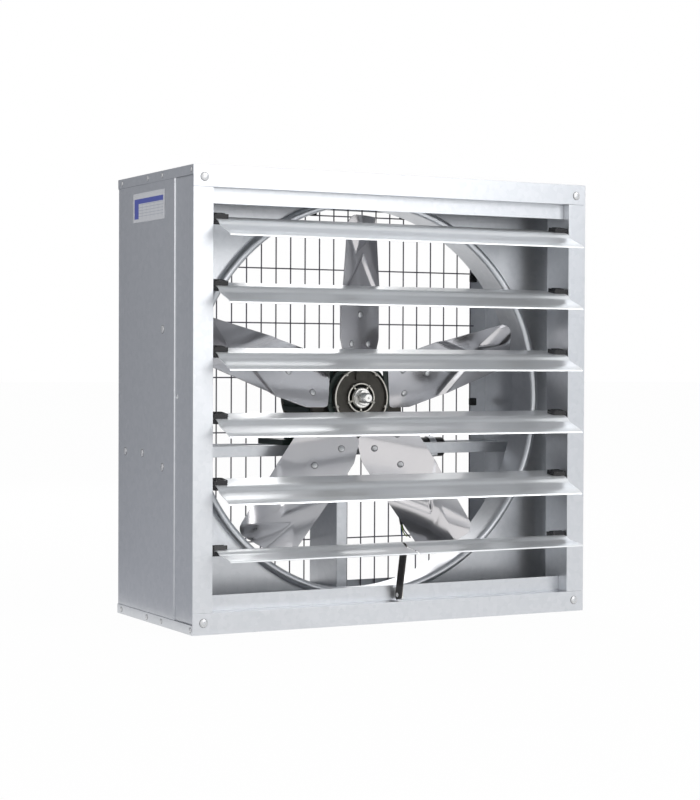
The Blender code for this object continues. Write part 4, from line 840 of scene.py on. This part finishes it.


# the third finish is painted shade in the slots between boss and collar
hubFinishes = ["darkCasting", "machinedEdge", "paintedSlotShade"]
hub = addPiece("hub_dish", hubShapes(hubLook), hubFinishes, "rotor", ["hub_casting"], 30)
roundEdges(hub, 0.0004, 50)
print("hub done")

# Shaft: a turned nose with a chamfer, a centre hole and a few threads
shaftLook = {
    "radius": 0.0095, "foot": 0.001, "chamfer": 0.0025, "threads": 7, "threadPitch": 0.0015,
    "threadDepth": 0.0006, "centreHole": 0.0022, "centreDepth": 0.003, "steps": 64,
}


def shaftProfile(look, length):
    # (radius, distance) pairs. A thread's crests and roots take turns every half pitch
    radius, foot, chamfer, threads, pitch = pick(look, "radius foot chamfer threads threadPitch")
    count, start = np.arange(2 * threads), length - chamfer - threads * pitch
    thread = np.column_stack([radius - look["threadDepth"] * (count % 2), start + count * pitch / 2])
    nose = [(radius, length - chamfer), (radius - chamfer, length), (look["centreHole"], length),
            (0, length - look["centreDepth"])]
    return np.concatenate([[(0, 0), (radius - foot, 0), (radius, foot)], thread, nose])


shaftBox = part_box("motor_shaft")
shaftTurning = turnedShape(shaftProfile(shaftLook, shaftBox[1].y - shaftBox[0].y), (0, shaftBox[1].y, axisZ),
                           (0, -1, 0), shaftLook["steps"])
standIn("shaft_turning", "motor_shaft", [shaftTurning], sharpDeg=30)

# Motor covers and the capacitor's can, turned from their own sections with many more sides than their solids
coverLook = {
    "bearing": 0.0238, "bell": 0.080, "face": 0.062, "hub": 0.030, "hubFoot": (0.003, 0.002), "bore": 0.0098,
    "lip": 0.002, "slack": 0.0003, "bend": 0.0015, "steps": 96,
}


def coverShape(look, faceY, direction, bellLength, hubLength):
    # a dished bell with round edges, then a hub with its bore: (radius, distance) pairs turned about the axis
    bearing, bell, hub, bore, lip, slack = pick(look, "bearing bell hub bore lip slack")
    rim, end = bellLength - slack, bellLength + hubLength - 2 * slack
    profile = roundedPath([
        (bearing, 0), (bell, 0), (bell, bellLength / 2), (look["face"], rim), (hub + look["hubFoot"][0], rim),
        (hub, bellLength + look["hubFoot"][1]), (hub, end), (bore, end), (bore, end - lip), (bearing, end - lip),
    ], look["bend"], 3)
    return turnedShape(profile, (0, faceY, axisZ), (0, direction, 0), look["steps"])


frontBox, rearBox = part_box("motor_front_cover"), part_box("motor_rear_cover")
frontBell = coverShape(coverLook, frontBox[1].y, -1, 0.022, 0.010)
standIn("front_bell", "motor_front_cover", [frontBell])
rearBell = coverShape(coverLook, rearBox[0].y, 1, 0.019, 0.005)
standIn("rear_bell", "motor_rear_cover", [rearBell])
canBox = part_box("run_capacitor")
canSize, canMiddle = canBox[1] - canBox[0], (canBox[0] + canBox[1]) / 2
canProfile = roundedPath([(0, 0), (canSize.z / 2, 0), (canSize.z / 2, canSize.x), (0, canSize.x)], 0.003, 5)
canShape = turnedShape(canProfile, (canBox[0].x, canMiddle.y, canMiddle.z), (1, 0, 0), 64)
standIn("capacitor_can", "run_capacitor", [canShape])
print("motor done")

# Wire guard: round wires, welded where they cross, and the blocks that hold its edge
guardLook = {
    "radius": 0.0013, "columns": 24, "rows": 8, "pitchX": 0.0312, "pitchZ": 0.1050, "drop": 0.0165,
    "stub": 0.009, "uprightY": 0.1708, "crossY": 0.1724, "topZ": 0.771, "sides": 12, "block": 0.0152,
    "blockCorner": 0.002, "blockOver": 0.0015, "blockFront": 0.1663, "blockBack": 0.1722,
    "head": (0.003, 0.001), "edge": 0.0006,
    "heights": (0.1299, 0.3872, 0.6371), "offsets": (-0.2009, 0.0, 0.2009),
}


def guardShapes(look):
    # each wire is a straight tube with a stub past its last crossing, and each block a square with a small head
    pitchX, pitchZ, stub, blockFront, blockBack = pick(look, "pitchX pitchZ stub blockFront blockBack")
    halfX, spanZ = (look["columns"] - 1) * pitchX / 2, (look["rows"] - 1) * pitchZ
    lowZ = axisZ - look["drop"] - spanZ / 2
    paths = [[(x, look["uprightY"], z) for z in (lowZ - stub, axisZ, look["topZ"])]
             for x in -halfX + pitchX * np.arange(look["columns"])]
    paths += [[(s * (halfX + stub), look["crossY"], z) for s in (-1, 0, 1)]
              for z in lowZ + pitchZ * np.arange(look["rows"])]
    wires = [tubeShape(path, look["radius"], look["sides"]) for path in paths]
    half, blocks = look["block"] / 2, []
    reach = half - look["blockOver"]
    places = [(s * (halfX + reach), z) for s in (-1, 1) for z in look["heights"]]
    places += [(x, z) for z in (lowZ - reach, lowZ + spanZ + reach) for x in look["offsets"]]
    square = prismUp(roundedRectangle(half, half, look["blockCorner"]), 0, blockBack - blockFront)
    for x, z in places:
        blocks.append(moved(square, Matrix.Translation((x, blockBack, z)) @ Matrix.Rotation(math.pi / 2, 4, "X")))
        blocks.append(turnedShape(domeProfile(*look["head"]), (x, blockFront, z), (0, -1, 0), 20))
    return wires, blocks


guardWires, blockShapes = guardShapes(guardLook)
standIn("guard_wires", "wire_guard", guardWires, sharpDeg=60)
guardBlocks = addPiece("guard_blocks", blockShapes, ["mouldedNylon"], "housing")
roundEdges(guardBlocks, guardLook["edge"])
print("guard done")

# Motor lead and its three bare-ended cores, on the same routes as their solids
leadLook = {
    "radius": 0.0035, "coreRadius": 0.0011, "perStretch": 6,
    "route": ((0.1080, 0.0820, 0.3664), (0.1080, 0.0820, 0.3590), (0.1080, 0.0820, 0.3500),
              (0.1092, 0.0820, 0.3430), (0.1160, 0.0820, 0.3350), (0.1280, 0.0820, 0.3280),
              (0.1370, 0.0820, 0.3120), (0.1390, 0.0820, 0.2880), (0.1410, 0.0820, 0.2500),
              (0.1440, 0.0830, 0.2100), (0.1475, 0.0840, 0.1800), (0.1536, 0.0850, 0.1518)),
    "cores": {
        "black": ((0.1551, 0.0850, 0.1512), (0.1568, 0.0850, 0.1440), (0.1635, 0.0845, 0.1340),
                  (0.1725, 0.0840, 0.1250)),
        "blue": ((0.1528, 0.0863, 0.1512), (0.1533, 0.0868, 0.1430), (0.1540, 0.0870, 0.1350),
                 (0.1555, 0.0870, 0.1255)),
        "green": ((0.1528, 0.0837, 0.1512), (0.1540, 0.0828, 0.1430), (0.1580, 0.0820, 0.1330),
                  (0.1640, 0.0815, 0.1280)),
    },
}


def smoothRoute(route, count):
    # between the 2nd and 3rd of four points: (2b + (c-a)t + (2a-5b+4c-d)t^2 + (3b-3c+d-a)t^3) / 2
    points = np.array(route, float)
    points = np.concatenate([[2 * points[0] - points[1]], points, [2 * points[-1] - points[-2]]])
    t = np.linspace(0, 1, count, endpoint=False)[None, :, None]
    a, b, c, d = (points[k:len(points) - 3 + k][:, None] for k in range(4))
    curve = 2 * b + (c - a) * t + (2 * a - 5 * b + 4 * c - d) * t ** 2 + (3 * b - 3 * c + d - a) * t ** 3
    return np.concatenate([curve.reshape(-1, 3) / 2, points[-2:-1]])


leadPath = smoothRoute(leadLook["route"], leadLook["perStretch"])
leadTube = tubeShape(leadPath, leadLook["radius"], 20)
lead = standIn("motor_lead_sheath", "motor_lead", [leadTube], sharpDeg=60)
for word, route in leadLook["cores"].items():
    corePath = smoothRoute(route, leadLook["perStretch"])
    coreTube = tubeShape(corePath, leadLook["coreRadius"], 14)
    standIn(f"core_{word}", f"lead_core_{word}", [coreTube], word + "Core", 60)

# What is left as modelled takes its finish from its slot
for name, obj in nodes.items():
    if not obj.hide_render:
        obj.data.materials.clear()
        obj.data.materials.append(finishes[finishOfNode.get(name, finishOfSlot[slotOf[name]])])

# Studio: pale floor, white world, soft lamps, and cards that the metal mirrors
studioLook = {
    "floorHalf": 40.0, "floorGap": 0.0005, "floorTone": "#F4F4F4", "floorRough": 0.9, "floorShow": 0.97,
    "worldFill": 0.6,
    "lamps": {
        "key": {"place": (1.6, -3.4, 2.6), "aim": (0, 0, 0.4), "size": 2.2, "watts": 60},
        "fill": {"place": (-3.2, -2.2, 1.8), "aim": (0, 0, 0.4), "size": 2.0, "watts": 22},
        "rear": {"place": (0.8, 3.2, 2.2), "aim": (0, 0, 0.4), "size": 2.2, "watts": 35},
    },
    "cards": {
        # place, size (across, up), the point that it faces, and the tone that a mirror sees, times its glow
        "sideCard": {"place": (-2.6, 2.6, 1.0), "size": (4.2, 4.0), "aim": (-0.4, 0, 0.4), "tone": "#9C9EA4"},
        "slateCard": {"place": (-0.20, 0.9, 0.5), "size": (0.80, 1.8), "aim": (-0.20, 0, 0.5),
                      "tone": "#2C3038"},
        "sideFloorCard": {"place": (-2.25, 1.9, 0.002), "size": (3.6, 5.0), "aim": (-2.25, 1.9, 5),
                          "tone": "#ABADB4"},
        "brightCard": {"place": (1.15, -3.7, 1.75), "size": (2.3, 2.9), "aim": (1.15, 0, 1.75),
                       "tone": "#FFFFFF", "glow": 2.2},
        "rightCard": {"place": (3.4, -3.35, 1.0), "size": (2.4, 3.0), "aim": (0.4, -0.2, 0.4),
                      "tone": "#B4B9C0"},
    },
}


def seenByMirrors(tree):
    # 1 for the camera, a mirror or clear glass, and 0 for light that falls on the object
    path = addNode(tree, "ShaderNodeLightPath").outputs
    either = addNode(tree, "ShaderNodeMath", {"operation": "MAXIMUM"}, {
        0: path["Is Camera Ray"], 1: path["Is Glossy Ray"]}).outputs[0]
    return addNode(tree, "ShaderNodeMath", {"operation": "MAXIMUM"}, {
        0: either, 1: path["Is Transmission Ray"]}).outputs[0]


def facing(place, aim):
    # stands at place and looks along its own -Z at aim
    turn = (Vector(aim) - Vector(place)).to_track_quat("-Z", "Y").to_matrix().to_4x4()
    return Matrix.Translation(place) @ turn


def stageSquare(name, size, place):
    # a flat square of the stage, and the nodes of its own new material
    across, up = size[0] / 2, size[1] / 2
    mesh = bpy.data.meshes.new(name)
    corners = [(-across, -up, 0), (across, -up, 0), (across, up, 0), (-across, up, 0)]
    mesh.from_pydata(corners, [], [(0, 1, 2, 3)])
    obj = newObject(name, mesh)
    obj.matrix_world = place
    material, tree = newMaterial(name + "Tone")
    mesh.materials.append(material)
    return obj, tree


def addStudio(look):
    world = bpy.data.worlds.new("studio")
    bpy.context.scene.world = world
    world.use_nodes = True
    tree = world.node_tree
    background = tree.nodes["Background"]
    background.inputs["Color"].default_value = (1, 1, 1, 1)
    strength = addNode(tree, "ShaderNodeMix", {"data_type": "FLOAT"}, {
        0: seenByMirrors(tree), 2: look["worldFill"], 3: 1.0})
    tree.links.new(strength.outputs[0], background.inputs["Strength"])
    floorPlace = Matrix.Translation((0, 0, cadBox[0].z - look["floorGap"]))
    _, tree = stageSquare("floor", (2 * look["floorHalf"], 2 * look["floorHalf"]), floorPlace)
    shader = tree.nodes["Principled BSDF"]
    shader.inputs["Base Color"].default_value = linear(look["floorTone"])
    shader.inputs["Roughness"].default_value = look["floorRough"]
    glow = addNode(tree, "ShaderNodeEmission", inputs={"Color": (1, 1, 1, 1), "Strength": 1.0})
    share = addNode(tree, "ShaderNodeMath", {"operation": "MULTIPLY"}, {
        0: seenByMirrors(tree), 1: look["floorShow"]}).outputs[0]
    mixed = addNode(tree, "ShaderNodeMixShader", inputs={
        0: share, 1: shader.outputs["BSDF"], 2: glow.outputs["Emission"]})
    tree.links.new(mixed.outputs["Shader"], tree.nodes["Material Output"].inputs["Surface"])
    for name, lamp in look["lamps"].items():
        data = bpy.data.lights.new(name, "AREA")
        data.shape = "SQUARE"
        data.size = lamp["size"]
        data.energy = lamp["watts"]
        newObject(name, data).matrix_world = facing(lamp["place"], lamp["aim"])
    for name, card in look["cards"].items():
        obj, tree = stageSquare(name, card["size"], facing(card["place"], card["aim"]))
        obj.visible_camera = False
        obj.visible_diffuse = False
        obj.visible_shadow = False
        glow = addNode(tree, "ShaderNodeEmission", inputs={
            "Color": linear(card["tone"]), "Strength": card.get("glow", 1.0)})
        tree.links.new(glow.outputs["Emission"], tree.nodes["Material Output"].inputs["Surface"])


addStudio(studioLook)
print("studio done")
